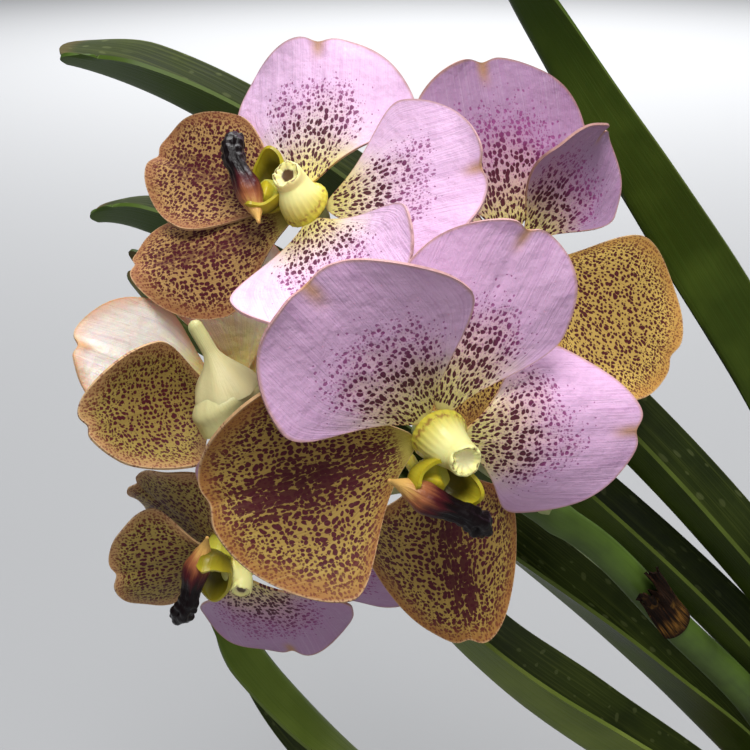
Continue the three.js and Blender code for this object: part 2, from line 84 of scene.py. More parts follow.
# Blooms
TEPAL_THICKNESS = 0.7
CLAW = 0.3
HUB_RADIUS = 4.6
BOWL_THICKNESS = 0.9
COLUMN_LENGTH = 12
COLUMN_STEPS = 120
PLEATS = 23
RIPE_BLOOMS = ("bloom_2", "bloom_5")
SEEN_FROM_BEHIND = "bloom_4"

# Flower spike
SPIKE_RADIUS = 6
FOOTSTALK_RADIUS = 1.9
SPIKE_LINE = [
    (-10, -9, 226), (-46, -21, 283), (-78, -28, 320), (-106, -32, 352),
    (-131, -31, 370), (-153, -23, 388), (-172, 1, 406), (-190, 25, 427),
]
BRACT_SPAN = (0.405, 0.485)
BRACT_THICKNESS = 0.5

# Each leaf: height on the stem, its curve's two handles and tip, width laid flat, roll at base and tip
LEAVES = {
    "leaf_left_6": (300, (-48, -10, 390), (-102, 48, 443), (-144, 45, 525), 42, (-40, 8)),
    "leaf_left_5": (262, (-47, -6, 332), (-203, 55, 470), (-275, 55, 480), 45, (36, 4)),
    "leaf_left_4": (232, (-19, 8, 279), (-228, 51, 436), (-271, 61, 425), 40, (31, -10)),
    "leaf_left_3": (200, (-70, 23, 272), (-168, 48, 339), (-262, 66, 409), 39, (-12, 76)),
    "leaf_left_2": (174, (-86, -34, 268), (-144, -20, 280), (-172, 26, 320), 48, (-16, 16)),
    "leaf_left_1": (140, (-116, -11, 178), (-189, -32, 265), (-223, -7, 317), 40, (-16, 179)),
    "leaf_right_6": (312, (54, -8, 372), (96, -30, 440), (170, -36, 486), 36, (0, 0)),
    "leaf_right_5": (280, (80, -8, 348), (170, -40, 440), (276, -52, 438), 38, (0, 0)),
    "leaf_right_4": (246, (80, 0, 316), (180, -18, 396), (292, -30, 372), 38, (0, 0)),
    "leaf_right_3": (216, (80, 4, 278), (176, 22, 344), (286, 40, 308), 37, (0, 0)),
    "leaf_right_2": (187, (80, 4, 238), (176, 30, 284), (276, 66, 234), 36, (0, 0)),
    "leaf_right_1": (157, (76, -4, 200), (160, -30, 228), (250, -60, 170), 34, (0, 0)),
}

ROOTS = {
    "root_1": [
        (-6, -6, 140), (-34, -22, 132), (-62, -36, 131), (-74, -43, 110), (-75, -50, 60), (-68, -55, 24),
    ],
    "root_2": [(7, -6, 132), (32, -34, 128), (50, -56, 130), (60, -66, 112), (61, -66, 66), (66, -54, 30)],
    "root_3": [(7, 5, 146), (36, 20, 136), (62, 32, 133), (76, 40, 112), (80, 34, 62), (84, 24, 22)],
    "root_4": [(-6, 7, 126), (-24, 34, 126), (-38, 60, 131), (-43, 74, 112), (-50, 72, 70), (-66, 66, 40)],
    "root_5": [(2, -8, 122), (12, -26, 120), (20, -40, 112), (22, -46, 92)],
}

# A tepal's direction round the bloom, length, width, forward pitch and its bends. lift is how far in front
# of the hub it sits.
FORM = ("turn", "length", "width", "pitch", "twist", "cup", "arch", "sweep")


def form(*values, **others):
    return dict(zip(FORM, values), **others)


USUAL_TEPALS = {
    "dorsal_sepal": form(90, 46, 42, -3, 0, 0.04, 0.02, lift=-2.2),
    "petal_left": form(150, 45, 48, 7, 0, -0.05, 0.04, lift=1.6),
    "petal_right": form(30, 45, 48, 7, 0, -0.05, 0.04, lift=1.6),
    "lateral_sepal_left": form(218, 50, 44, -4, 0, -0.05, 0.03, lift=-1.4),
    "lateral_sepal_right": form(322, 50, 44, -4, 0, -0.05, 0.03, lift=-1.4),
}
BLOOMS = {
    "bloom_1": dict(
        at=(-157.6, -78.4, 412.6), faces=(17, 9), roll=22, lip_yaw=80, stalk_from=0.6,
        dorsal_sepal=form(90, 48, 45, 2, -2, -0.03, 0.01, -0.1, lift=-1.6),
        petal_left=form(147, 49, 50, 24, -10, 0.08, 0.14, 0.08),
        petal_right=form(12, 49, 45, -12, -14, -0.3, -0.16, 0.02),
        lateral_sepal_left=form(213, 51, 53, 5, 2, 0.22, 0.04, -0.04),
        lateral_sepal_right=form(299, 54, 42, -12, 12, -0.4, -0.16, 0.06),
    ),
    "bloom_2": dict(
        at=(-190.2, -25.5, 452.9), faces=(-28, 38), roll=90, lip_yaw=-50, stalk_from=0.99,
        dorsal_sepal=form(110, 45, 46, 5, 4, 0.04, 0.01),
        petal_left=form(191, 44, 53, 0, 6, -0.14, -0.04, 0.05),
        petal_right=form(40, 44, 49, 25, -5, 0.12, 0.06, 0.12),
        lateral_sepal_left=form(260, 52, 36, 2, -3, 0.08, 0.04),
        lateral_sepal_right=form(303, 50, 38, 1, 11, -0.2, 0, -0.12),
    ),
    "bloom_3": dict(
        at=(-132.6, -13.4, 435.6), faces=(20, 22), roll=-8, lip_yaw=-20, stalk_from=0.84,
        dorsal_sepal=form(83, 51, 52, 3, -7, 0.08, 0.01, 0.04),
        petal_left=form(pitch=-22),
        petal_right=form(41, 38, 38, 16, 52, 0.14, 0.02),
        lateral_sepal_left=form(pitch=14),
        lateral_sepal_right=form(316, 56, 52, 0, -14, 0.08, 0),
    ),
    "bloom_4": dict(
        at=(-211, -21.8, 397.3), faces=(-145, -28), roll=0, lip_yaw=20, stalk_from=0.78,
        lip_size=1.25, lip_tilt=82, lip_turn=-16, lip_shift=(16, 8, -13),
        dorsal_sepal=form(turn=102, pitch=4),
        petal_left=form(pitch=20),
        petal_right=form(28, 45, 38, -4, 14, -0.09, 0.04),
        lateral_sepal_left=form(pitch=14),
        lateral_sepal_right=form(2, 50, 34, -22, 4, -0.26, -0.03),
    ),
    "bloom_5": dict(
        at=(-210.3, -50.2, 358.1), faces=(-12, -22), roll=95, lip_yaw=76, stalk_from=0.68,
        lip_shift=(-6.5, 4.5, 0), tongue_tilt=26, column_lean=(1, 3.6), column_size=0.76,
        dorsal_sepal=form(86, 49, 39, -6, 0, -0.06, 0, -0.06),
        petal_left=form(turn=154, pitch=-8),
        petal_right=form(16, 45, 49, -1, -8, -0.1, 0.04),
        lateral_sepal_left=form(241, 32, 40, -11, -14, -0.1, 0.04),
        lateral_sepal_right=form(270, 31, 38, 26, 16, -0.1, 0.03),
    ),
}

# Camera, and each lamp's place, aim, width, power and spread in degrees
CAMERA_AT = (-0.172, -0.292, 0.523)
CAMERA_DOWN = 24
CAMERA_ANGLE = 40
LIGHTS = {
    "window": ((-0.16, -0.4, 1.3), (-0.17, -0.05, 0.42), 0.5, 8.5, 180),
    "fill": ((0.15, -1.15, 1.0), (-0.15, 0, 0.4), 1.2, 3, 180),
    "wall_wash": ((0.3, 4.3, 5.2), (0.3, 4.4, 0), 5.0, 450, 120),
}


# Small sums


def smooth(value, low, high):
    t = min(1.0, max(0.0, (value - low) / (high - low)))
    return t * t * (3 - 2 * t)


def lerp(a, b, t):
    return a + (b - a) * t


def bell(value, width):
    return exp(-((value / width) ** 2))


def round_end(t, start):
    """1 as far as the start, then a quarter of a circle down to 0 at t = 1."""
    return sqrt(max(0.0, 1 - max(0.0, (t - start) / (1 - start)) ** 2))


def cubic(four, t):
    """The point at t on the curve drawn by an end, two handles and the other end."""
    a, b, c, d = four
    r = 1 - t
    return a * r**3 + b * (3 * r * r * t) + c * (3 * r * t * t) + d * t**3


def bumpy(x, y, z):
    return noise.noise(Vector((x, y, z)))


def turned(radius, angle, height=0.0):
    """A point at an angle round the upright axis."""
    return Vector((radius * cos(angle), radius * sin(angle), height))


def colour(code):
    """A screen colour such as "#a0b0c0" as the linear colour that a shader needs."""
    parts = [int(code[k : k + 2], 16) / 255 for k in (1, 3, 5)]
    return tuple(p / 12.92 if p <= 0.04045 else ((p + 0.055) / 1.055) ** 2.4 for p in parts) + (1.0,)


# Curves


class Line:
    """A smooth line through points, walked by share of its length."""

    def __init__(self, points):
        stops = [Vector(p) for p in points]
        stops = [2 * stops[0] - stops[1], *stops, 2 * stops[-1] - stops[-2]]
        dense = [self.between(stops[k : k + 4], s / 60) for k in range(len(stops) - 3) for s in range(60)]
        self.walk([*dense, stops[-2]], LINE_STEPS)

    @staticmethod
    def between(four, t):
        a, b, c, d = four
        before, step, after = ((q - p).length ** 0.5 for p, q in ((a, b), (b, c), (c, d)))
        leave = ((b - a) / before - (c - a) / (before + step) + (c - b) / step) * step
        arrive = ((c - b) / step - (d - b) / (step + after) + (d - c) / after) * step
        t2, t3 = t * t, t * t * t
        return b + leave * t + (3 * (c - b) - 2 * leave - arrive) * t2 + (2 * (b - c) + leave + arrive) * t3

    def walk(self, dense, steps):
        run = [0.0]
        for p, q in zip(dense, dense[1:]):
            run.append(run[-1] + (q - p).length)
        self.length = run[-1]
        self.points = []
        k = 0
        for s in range(steps + 1):
            goal = self.length * s / steps
            while k + 2 < len(run) and run[k + 1] < goal:
                k += 1
            share = (goal - run[k]) / max(run[k + 1] - run[k], 1e-9)
            self.points.append(dense[k].lerp(dense[k + 1], min(share, 1.0)))

    def at(self, t):
        place = min(max(t, 0.0), 1.0) * (len(self.points) - 1)
        k = min(int(place), len(self.points) - 2)
        return self.points[k].lerp(self.points[k + 1], place - k)

    def heading(self, t):
        return (self.at(t + 0.004) - self.at(t - 0.004)).normalized()


class Arc(Line):
    """A line drawn by two handles between two ends."""

    def __init__(self, *four):
        four = [Vector(p) for p in four]
        self.walk([cubic(four, s / ARC_STEPS) for s in range(ARC_STEPS + 1)], ARC_STEPS)


def carried_frames(line, steps):
    """Places along a line, each with two directions across it that don't spin."""
    heading = line.heading(0)
    side = heading.orthogonal().normalized()
    frames = []
    for k in range(steps + 1):
        following = line.heading(k / steps)
        side.rotate(heading.rotation_difference(following))
        heading = following
        side = (side - heading * side.dot(heading)).normalized()
        frames.append((line.at(k / steps), side.copy(), heading.cross(side)))
    return frames


def on_ring(at, side, other, radius, angle):
    return at + side * (radius * cos(angle)) + other * (radius * sin(angle))


# Meshes: a flat grid primitive is laid along a formula, then finished with modifiers


def select(*pieces):
    """Selects these pieces and nothing else. The first becomes the active one."""
    bpy.ops.object.select_all(action="DESELECT")
    for piece in pieces:
        piece.select_set(True)
    if pieces:
        bpy.context.view_layer.objects.active = pieces[0]


def added(primitive, **settings):
    """The object that a primitive operator adds."""
    select()
    primitive(**settings)
    return bpy.context.object


def edited(piece, *operators):
    """Runs edit-mode operators, each given with its settings, on a whole piece."""
    select(piece)
    bpy.ops.object.mode_set(mode="EDIT")
    bpy.ops.mesh.select_all(action="SELECT")
    for operator, settings in operators:
        operator(**settings)
    bpy.ops.object.mode_set(mode="OBJECT")
    return piece


CLOSE_SEAM = (bpy.ops.mesh.remove_doubles, {"threshold": 1e-6})
FACE_OUT = (bpy.ops.mesh.normals_make_consistent, {"inside": False})
TURN_OVER = (bpy.ops.mesh.flip_normals, {})


def apply_modifier(piece, kind, **settings):
    select(piece)
    modifier = piece.modifiers.new(kind.lower(), kind)
    for key, value in settings.items():
        setattr(modifier, key, value)
    bpy.ops.object.modifier_apply(modifier=modifier.name)


def grid(name, rows, columns, place, maps=None):
    """place(u, v) is in millimetres, u from 0 to 1 along and v from -1 to 1 across. maps name UV maps."""
    primitive = bpy.ops.mesh.primitive_grid_add
    piece = added(primitive, x_subdivisions=columns, y_subdivisions=rows, size=2, calc_uvs=True)
    piece.name = name
    mesh = piece.data
    flat = [((vertex.co.y + 1) / 2, vertex.co.x) for vertex in mesh.vertices]
    corners = [flat[loop.vertex_index] for loop in mesh.loops]
    mesh.uv_layers[0].name = "laid"
    for uv, (u, v) in zip(mesh.uv_layers["laid"].data, corners):
        uv.uv = (v, u)
    for label, chart in (maps or {}).items():
        layer = mesh.uv_layers.new(name=label)
        charted = {spot: chart(*spot) for spot in set(flat)}
        for uv, spot in zip(layer.data, corners):
            uv.uv = charted[spot]
    for vertex, (u, v) in zip(mesh.vertices, flat):
        vertex.co = Vector(place(u, v)) * MM
    return piece


def smoothed(piece, angle=60):
    select(piece)
    bpy.ops.object.shade_smooth_by_angle(angle=radians(angle))
    return piece


def thickened(piece, thickness, even=True):
    """Gives a sheet its thickness. The back takes the second material."""
    while len(piece.data.materials) < 2:
        piece.data.materials.append(None)
    apply_modifier(
        piece, "SOLIDIFY", thickness=thickness * MM, offset=0, use_even_offset=even,
        material_offset=1, material_offset_rim=0,
    )
    return smoothed(piece)


def welded(piece):
    """Joins a rolled-up grid along its seam and at its ends, and points its faces outwards."""
    return smoothed(edited(piece, CLOSE_SEAM, FACE_OUT))


def rolled(name, line, radius, around, steps, shape=None):
    """A round piece along a line with closed ends. radius(t) is in millimetres, shape(t, angle) scales it."""
    frames = carried_frames(line, steps)

    def place(u, v):
        k = round(u * steps)
        angle = pi * v
        r = radius(u) * (shape(u, angle) if shape else 1)
        return on_ring(*frames[k], 0 if k in (0, steps) else r, angle)

    return welded(grid(name, steps, around, place))


def joined(name, pieces):
    select(*pieces)
    bpy.ops.object.join()
    pieces[0].name = name
    return pieces[0]


def finished(piece, node, slot, *materials):
    """Puts the materials in the piece's slots, hangs it on the root body and hides the part that it replaces.
    The slot is not used.
    """
    slots = piece.data.materials
    while len(slots) < len(materials):
        slots.append(None)
    while len(slots) > len(materials):
        slots.pop()
    for place, material in enumerate(materials):
        slots[place] = material
    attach(piece, "root")
    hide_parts(node)
    return piece


# Shader wiring


class Wiring:
    """Adds nodes to a material or a group. A value may be a number, a screen colour or a node's output."""

    def __init__(self, tree):
        self.tree = tree

    def put(self, kind, values=None, **settings):
        node = self.tree.nodes.new("ShaderNode" + kind)
        for key, value in settings.items():
            setattr(node, key, value)
        for key, value in (values or {}).items():
            self.feed(node.inputs[key], value)
        return node

    def feed(self, socket, value):
        if isinstance(value, bpy.types.NodeSocket):
            self.tree.links.new(value, socket)
        else:
            socket.default_value = colour(value) if isinstance(value, str) else value

    def math(self, operation, a, b=0.0):
        return self.put("Math", {0: a, 1: b}, operation=operation).outputs[0]

    def add(self, a, b):
        return self.math("ADD", a, b)

    def times(self, a, b):
        return self.math("MULTIPLY", a, b)

    def swing(self, value, amount):
        """Turns 0 to 1 into a swing of that amount about 0."""
        return self.times(self.add(value, -0.5), amount)

    def ramp(self, value, low, high, start=0.0, end=1.0):
        sockets = {"Value": value, "From Min": low, "From Max": high, "To Min": start, "To Max": end}
        return self.put("MapRange", sockets, interpolation_type="SMOOTHSTEP").outputs[0]

    def bump_of(self, value, centre, width):
        """1 at the centre, falling to 0 a width away on each side."""
        away = self.math("ABSOLUTE", self.add(value, -centre))
        return self.ramp(away, 0.0, width, 1.0, 0.0)

    def blend(self, share, a, b):
        return self.put("Mix", {0: share, 6: a, 7: b}, data_type="RGBA").outputs[2]

    def layers(self, ground, *coats):
        """A ground under coats, each given as how much of it shows and its colour."""
        for share, tint in coats:
            ground = self.blend(share, ground, tint)
        return ground

    def vector(self, x, y, z):
        return self.put("CombineXYZ", {0: x, 1: y, 2: z}).outputs[0]

    def split(self, vector):
        return self.put("SeparateXYZ", {0: vector}).outputs

    def chart(self, name):
        """The two coordinates of a UV map."""
        return self.split(self.put("UVMap", uv_map=name).outputs[0])[:2]

    def noise(self, vector, scale, detail, roughness=0.5):
        sockets = {"Vector": vector, "Scale": scale, "Detail": detail, "Roughness": roughness}
        return self.put("TexNoise", sockets).outputs[0]

    def group(self, tree, **values):
        node = self.put("Group")
        node.node_tree = tree
        for key, value in values.items():
            self.feed(node.inputs[key], value)
        return node.outputs[0]


class Skin(Wiring):
    """A material's wiring. Plain values go on the sockets of its Principled shader."""

    def __init__(self, name, **constants):
        self.material = bpy.data.materials.new(name)
        self.material.use_nodes = True
        super().__init__(self.material.node_tree)
        self.shader = next(node for node in self.tree.nodes if node.type == "BSDF_PRINCIPLED").inputs
        for label, value in constants.items():
            self.feed(self.shader[label.replace("_", " ")], value)

    def painted(self, ground, height, distance, strength):
        """Wires the colour and the relief to the shader, and gives the material."""
        relief = self.put("Bump", {"Height": height, "Distance": distance, "Strength": strength})
        self.feed(self.shader["Base Color"], ground)
        self.feed(self.shader["Normal"], relief.outputs[0])
        return self.material


def new_group(name, result, **inputs):
    """A shader group's wiring, its input sockets and its one result socket. All are floats."""
    tree = bpy.data.node_groups.new(name, "ShaderNodeTree")
    for label, value in inputs.items():
        tree.interface.new_socket(label, in_out="INPUT", socket_type="NodeSocketFloat").default_value = value
    tree.interface.new_socket(result, in_out="OUTPUT", socket_type="NodeSocketFloat")
    return Wiring(tree), tree.nodes.new("NodeGroupInput").outputs, tree.nodes.new("NodeGroupOutput").inputs[0]


def spots_group():
    """One round spot to a cell, larger where Density is high, till neighbours touch and run together."""
    w, given, result = new_group(
        "orchid_spots", "Spots",
        Across=0.0, Along=0.0, Cell=1.5, Stretch=1.2, Density=0.5, Ragged=0.1, Seed=0.0,
    )
    across = w.math("DIVIDE", given["Across"], given["Cell"])
    along = w.math("DIVIDE", w.math("DIVIDE", given["Along"], given["Cell"]), given["Stretch"])
    cells = w.vector(across, along, given["Seed"])
    bend = w.vector(w.times(w.noise(cells, 0.35, 1.0), 1.6), w.times(w.noise(cells, 0.3, 1.0), 1.6), 0.0)
    bent = w.put("VectorMath", {0: cells, 1: bend}, operation="ADD").outputs[0]
    sockets = {"Vector": bent, "Scale": 1.0, "Randomness": 0.72}
    voronoi = w.put("TexVoronoi", sockets, voronoi_dimensions="2D").outputs
    own = w.put("SeparateColor", {0: voronoi["Color"]}).outputs
    size = w.times(w.math("POWER", given["Density"], 0.6), w.ramp(own[0], 0.0, 1.0, 0.26, 0.5))
    rough = w.times(w.add(w.noise(cells, 2.4, 1.0), -0.5), given["Ragged"])
    edge = w.add(w.add(size, rough), w.times(voronoi["Distance"], -1.0))
    kept = w.ramp(w.add(given["Density"], w.times(own[1], -0.55)), -0.02, 0.06)
    w.feed(result, w.times(w.ramp(edge, -0.04, 0.06), kept))
    return w.tree


def veins_group():
    """Fine lines that run along a petal or a leaf and part as it widens."""
    w, given, result = new_group("fine_veins", "Lines", Across=0.0, Along=0.0, Count=12.0, Seed=0.0)
    place = w.vector(w.times(given["Across"], given["Count"]), w.times(given["Along"], 1.6), given["Seed"])
    w.feed(result, w.noise(place, 1.0, 3.0, 0.6))
    return w.tree


def mottle_group():
    """Cloudy unevenness over the whole object, in cells of a given size in millimetres."""
    w, given, result = new_group("mottle", "Clouds", Size=20.0, Detail=3.0)
    place = w.put("TexCoord").outputs["Object"]
    w.feed(result, w.noise(place, w.math("DIVIDE", 1 / MM, given["Size"]), given["Detail"], 0.6))
    return w.tree


SPOTS = spots_group()
VEINS = veins_group()
MOTTLE = mottle_group()

MAROON = "#4a0822"
MAGENTA = "#8c2c74"
CREAM = "#dcd07c"
TAN = "#b98a58"
DUST_CELL = 0.8


def mottle(w, size, detail=3.0):
    return w.group(MOTTLE, Size=size, Detail=detail)


def veins(w, across, along, count, seed):
    return w.group(VEINS, Across=across, Along=along, Count=count, Seed=seed)


def spots(w, across, along, cell, density, seed, stretch=1.2, ragged=0.1):
    return w.group(
        SPOTS, Across=w.add(across, seed * 7.3), Along=w.add(along, seed * 3.1), Cell=cell,
        Density=density, Stretch=stretch, Ragged=ragged, Seed=seed,
    )


def tepal_charts(w):
    """Across and along in millimetres, the fan coordinate, share of the length, and how near the rim."""
    across, along = w.chart("flat")
    fan, up = w.chart("fan")
    share = w.times(w.add(up, 1.0), 0.5)
    rim = w.add(w.times(fan, fan), w.times(up, up))
    return across, along, fan, share, rim


def rose_face(
    name, near, far, spotted=1.0, seed=0.0, warm=0.0, reach_to=0.78, glow=0.02, cell=1.45, spread=0.9
):
    """A petal or the upper sepal: cream at the heart, then near, then far, with spots that thin out."""
    w = Skin(
        name, Roughness=0.5, Subsurface_Weight=glow, Subsurface_Scale=0.0005 + 0.005 * glow,
        Specular_IOR_Level=0.16,
    )
    across, along, fan, share, rim = tepal_charts(w)
    cloud = mottle(w, 16)
    patch = mottle(w, 6, 2)
    uneven = w.add(w.swing(cloud, 0.35), w.swing(patch, 0.16))
    slight = w.times(uneven, 0.2)
    reach = w.add(w.add(share, w.times(w.times(fan, fan), 0.35)), uneven)
    lines = veins(w, fan, share, 9, seed)
    fine = veins(w, fan, share, 60, seed + 3)
    notch = w.times(w.bump_of(w.add(fan, slight), 0.0, 0.12), w.ramp(share, 0.8, 0.97, 0.0, 0.8))
    ground = w.layers(
        CREAM,
        (w.ramp(share, 0.08, 0.42), near),
        (w.ramp(reach, 0.25, 0.68), far),
        (w.ramp(lines, 0.45, 0.75, 0.0, 0.22), "#b877b2"),
        (w.ramp(fine, 0.5, 0.72, 0.0, 0.12), "#f3dff2"),
        (w.ramp(fine, 0.5, 0.3, 0.0, 0.12), "#a872a6"),
        (notch, TAN),
        (w.ramp(w.add(rim, slight), 0.93, 1.0, 0.0, 0.6), TAN),
    )
    if warm:
        ground = w.blend(w.ramp(rim, 0.6, 0.98, 0.0, warm), ground, "#c9a071")
    off_centre = w.math("ABSOLUTE", w.add(fan, w.times(uneven, 0.9)))
    side = w.ramp(off_centre, spread - 0.55, spread, 1.0, 0.0)
    thinning = w.times(w.ramp(reach, 0.2, reach_to, 1.0, 0.0), side)
    start = w.ramp(share, 0.02, 0.08)
    density = w.times(w.times(w.math("POWER", thinning, 0.5), start), spotted)
    dots = spots(w, across, along, cell, density, seed, 1.25)
    scarce = w.times(w.ramp(thinning, 0.0, 0.2), w.times(start, 0.5 * spotted))
    dust = spots(w, across, along, DUST_CELL, scarce, seed + 2)
    tint = w.blend(w.ramp(reach, 0.36, 0.7), MAROON, MAGENTA)
    ground = w.layers(
        ground,
        (w.times(w.ramp(density, 0.3, 0.9, 0.0, 0.2), w.ramp(reach, 0.1, 0.3)), "#a24a78"),
        (w.times(dust, 0.6), MAGENTA),
        (w.times(dots, w.ramp(reach, 0.45, 0.75, 0.96, 0.7)), tint),
    )
    silk = w.add(w.times(lines, 0.4), w.times(fine, 0.2))
    crystals = w.times(mottle(w, 0.7, 1), 0.12)
    folds = w.add(w.times(cloud, 1.2), w.times(patch, 1.1))
    height = w.add(w.add(silk, w.add(crystals, w.times(dots, -0.08))), folds)
    return w.painted(ground, height, 0.0013, 0.7)


def tawny_face(name, ground_colour, margin_colour, dark=0.0, band=0.0, seed=0.0):
    """A lateral sepal: tawny with a lighter margin, close spots, and a dark net along the rib."""
    w = Skin(name, Roughness=0.5, Subsurface_Weight=0.02, Subsurface_Scale=0.0005, Specular_IOR_Level=0.14)
    across, along, fan, share, rim = tepal_charts(w)
    patch = mottle(w, 5, 2)
    loose = w.add(rim, w.add(w.swing(mottle(w, 12), 0.45), w.swing(patch, 0.2)))
    lines = veins(w, fan, share, 10, seed)
    fine = veins(w, fan, share, 46, seed + 5)
    ground = w.layers(
        ground_colour,
        (w.ramp(loose, 0.55, 1.0), margin_colour),
        (w.ramp(share, 0.02, 0.25, 0.8, 0.0), "#b3ac52"),
        (w.ramp(fine, 0.5, 0.75, 0.0, 0.25), "#cdb56a"),
        (w.ramp(fine, 0.5, 0.28, 0.0, 0.35), "#6b4a24"),
        (w.ramp(loose, 0.2, 0.6, 0.3, 0.0), "#7a5a34"),
        (w.ramp(rim, 0.955, 1.0, 0.0, 0.6), "#cfae84"),
    )
    inside = w.ramp(loose, 0.7, 1.0, 1.0, 0.0)
    heart = w.ramp(loose, 0.0, 0.75, 1.0, 0.0)
    crowded = w.times(w.add(w.times(heart, 0.3), 0.62 + dark), inside)
    large = spots(w, across, along, 1.25, crowded, seed, 1.15, 0.14)
    edge_dots = w.times(w.ramp(loose, 0.2, 0.7, 0.25, 0.7), w.ramp(loose, 0.92, 1.12, 1.0, 0.0))
    small = spots(w, across, along, DUST_CELL, edge_dots, seed + 9, 1.15, 0.14)
    dots = w.math("MAXIMUM", large, w.times(small, 0.85))
    if band:
        rib = w.bump_of(w.add(fan, w.swing(lines, 0.5)), 0.04, 0.34)
        rib = w.times(w.times(rib, w.ramp(share, 0.04, 0.2)), w.ramp(share, 0.75, 0.97, 1.0, 0.0))
        net = spots(w, across, along, 1.1, w.times(rib, 2.2), seed + 4, 2.6, 0.3)
        dots = w.math("MAXIMUM", dots, w.times(net, band))
    dots = w.times(dots, w.ramp(share, 0.05, 0.12))
    dye = w.blend(w.ramp(loose, 0.45, 0.95), MAROON, "#6a2228")
    ground = w.blend(w.times(dots, w.ramp(loose, 0.6, 1.0, 0.96, 0.7)), ground, dye)
    streaks = w.add(w.times(lines, 0.5), w.times(fine, 0.4))
    height = w.add(streaks, w.add(w.times(dots, -0.1), w.times(patch, 0.8)))
    return w.painted(ground, height, 0.0008, 0.6)


def tepal_back(name, colours, count, seed, heart_end, vein_end, vein_share, edge_share, **constants):
    """The plain back of a tepal. The colours are its heart, blade, veins and rib."""
    heart, blade, vein, rib = colours
    w = Skin(name, Roughness=0.5, **constants)
    _, _, fan, share, rim = tepal_charts(w)
    lines = veins(w, fan, share, count, seed)
    ground = w.layers(
        heart,
        (w.ramp(share, 0.0, heart_end), blade),
        (w.ramp(lines, 0.4, vein_end, 0.0, vein_share), vein),
        (w.bump_of(fan, 0.0, 0.1), rib),
        (w.ramp(rim, 0.88, 1.0, 0.0, edge_share), TAN),
    )
    return w.painted(ground, lines, 0.0008, 0.5)


def leaf_face(name, low, high):
    w = Skin(name, Specular_IOR_Level=0.14)
    v, u = w.chart("laid")
    cloud = mottle(w, 40)
    lines = veins(w, v, w.times(u, 3.0), 22, 1)
    ground = w.layers(
        low,
        (w.ramp(cloud, 0.35, 0.7), high),
        (w.ramp(lines, 0.45, 0.75, 0.0, 0.3), "#3a541a"),
        # A near-black line down the fold of the leaf: painted shade in the crease.
        (w.bump_of(v, 0.0, 0.05), "#131f06"),
        # A pale line along the rim: painted highlight on the leaf's edge.
        (w.ramp(w.math("ABSOLUTE", v), 0.965, 1.0, 0.0, 0.18), "#7f8a45"),
        (w.ramp(u, 0.6, 1.0, 0.0, 0.55), "#3f5a1c"),
    )
    w.feed(w.shader["Roughness"], w.ramp(cloud, 0.3, 0.7, 0.38, 0.5))
    return w.painted(ground, w.add(lines, w.times(cloud, 0.8)), 0.0006, 0.3)


def leaf_back(name, low, high):
    w = Skin(name, Specular_IOR_Level=0.2)
    v, u = w.chart("laid")
    cloud = mottle(w, 26)
    lines = veins(w, v, w.times(u, 3.0), 26, 5)
    flecks = spots(w, w.times(v, 22), w.times(u, 260), 4, 0.25, 3, 1.5)
    nicks = w.ramp(w.noise(w.vector(w.times(u, 40), 0.0, 0.0), 1.0, 2.0), 0.62, 0.7)
    ground = w.layers(
        low,
        (w.ramp(cloud, 0.3, 0.7), high),
        (w.ramp(lines, 0.45, 0.75, 0.0, 0.3), "#68722f"),
        (w.times(flecks, 0.2), "#8a925c"),
        # A pale line along the rim: painted highlight on the leaf's edge, broken by brown nicks that are real
        # damage.
        (w.ramp(w.math("ABSOLUTE", v), 0.98, 1.0, 0.0, 0.2), w.blend(nicks, "#97a05f", "#6b4a2a")),
        (w.ramp(u, 0.975, 0.995, 0.0, 0.5), "#6d5a33"),
    )
    w.feed(w.shader["Roughness"], w.ramp(cloud, 0.3, 0.7, 0.45, 0.6))
    return w.painted(ground, w.add(lines, w.times(cloud, 0.7)), 0.0006, 0.3)


def streaked(name, low, high, count, rough, relief, size, tip=None):
    """A stalk, stem or root skin: clouds of two colours, streaks along it, and perhaps a tip of its own."""
    w = Skin(name, Roughness=rough)
    v, u = w.chart("laid")
    cloud = mottle(w, size)
    lines = veins(w, v, w.times(u, 6.0), count, 4)
    ground = w.layers(low, (w.ramp(cloud, 0.3, 0.7), high), (w.ramp(lines, 0.45, 0.8, 0.0, 0.5), low))
    if tip:
        start, end, share, tint = tip
        ground = w.blend(w.ramp(u, start, end, 0.0, share), ground, tint)
    return w.painted(ground, w.add(lines, cloud), relief, 0.5)


def bract_skin():
    w = Skin("bract_skin", Roughness=0.8, Specular_IOR_Level=0.1)
    v, u = w.chart("laid")
    lines = veins(w, v, u, 12, 8)
    cloud = mottle(w, 5)
    ground = w.layers(
        "#140b07",
        (w.ramp(lines, 0.4, 0.75), "#3a2212"),
        (w.ramp(cloud, 0.58, 0.75, 0.0, 0.7), "#7d5a26"),
        (w.times(w.bump_of(u, 0.2, 0.22), w.ramp(lines, 0.35, 0.7)), "#96682c"),
    )
    return w.painted(ground, w.add(lines, cloud), 0.0009, 0.7)


def side_lobe_skin(name, edge_colour, inner_colour, low=0.3, blush=0.0):
    w = Skin(name, Roughness=0.38, Subsurface_Weight=0.1, Subsurface_Scale=0.0015, Specular_IOR_Level=0.35)
    v, u = w.chart("laid")
    cloud = mottle(w, 4)
    ribs = veins(w, v, u, 14, 2)
    ground = w.layers(
        inner_colour,
        (w.ramp(w.add(u, w.swing(cloud, 0.12)), low, 1.0), edge_colour),
        (w.ramp(ribs, 0.5, 0.75, 0.0, 0.3), inner_colour),
    )
    if blush:
        flush = w.times(w.ramp(u, 0.35, 0.85), w.ramp(cloud, 0.3, 0.55, 0.35, blush))
        ground = w.blend(flush, ground, "#7d2a50")
    return w.painted(ground, w.add(cloud, ribs), 0.0004, 0.5)


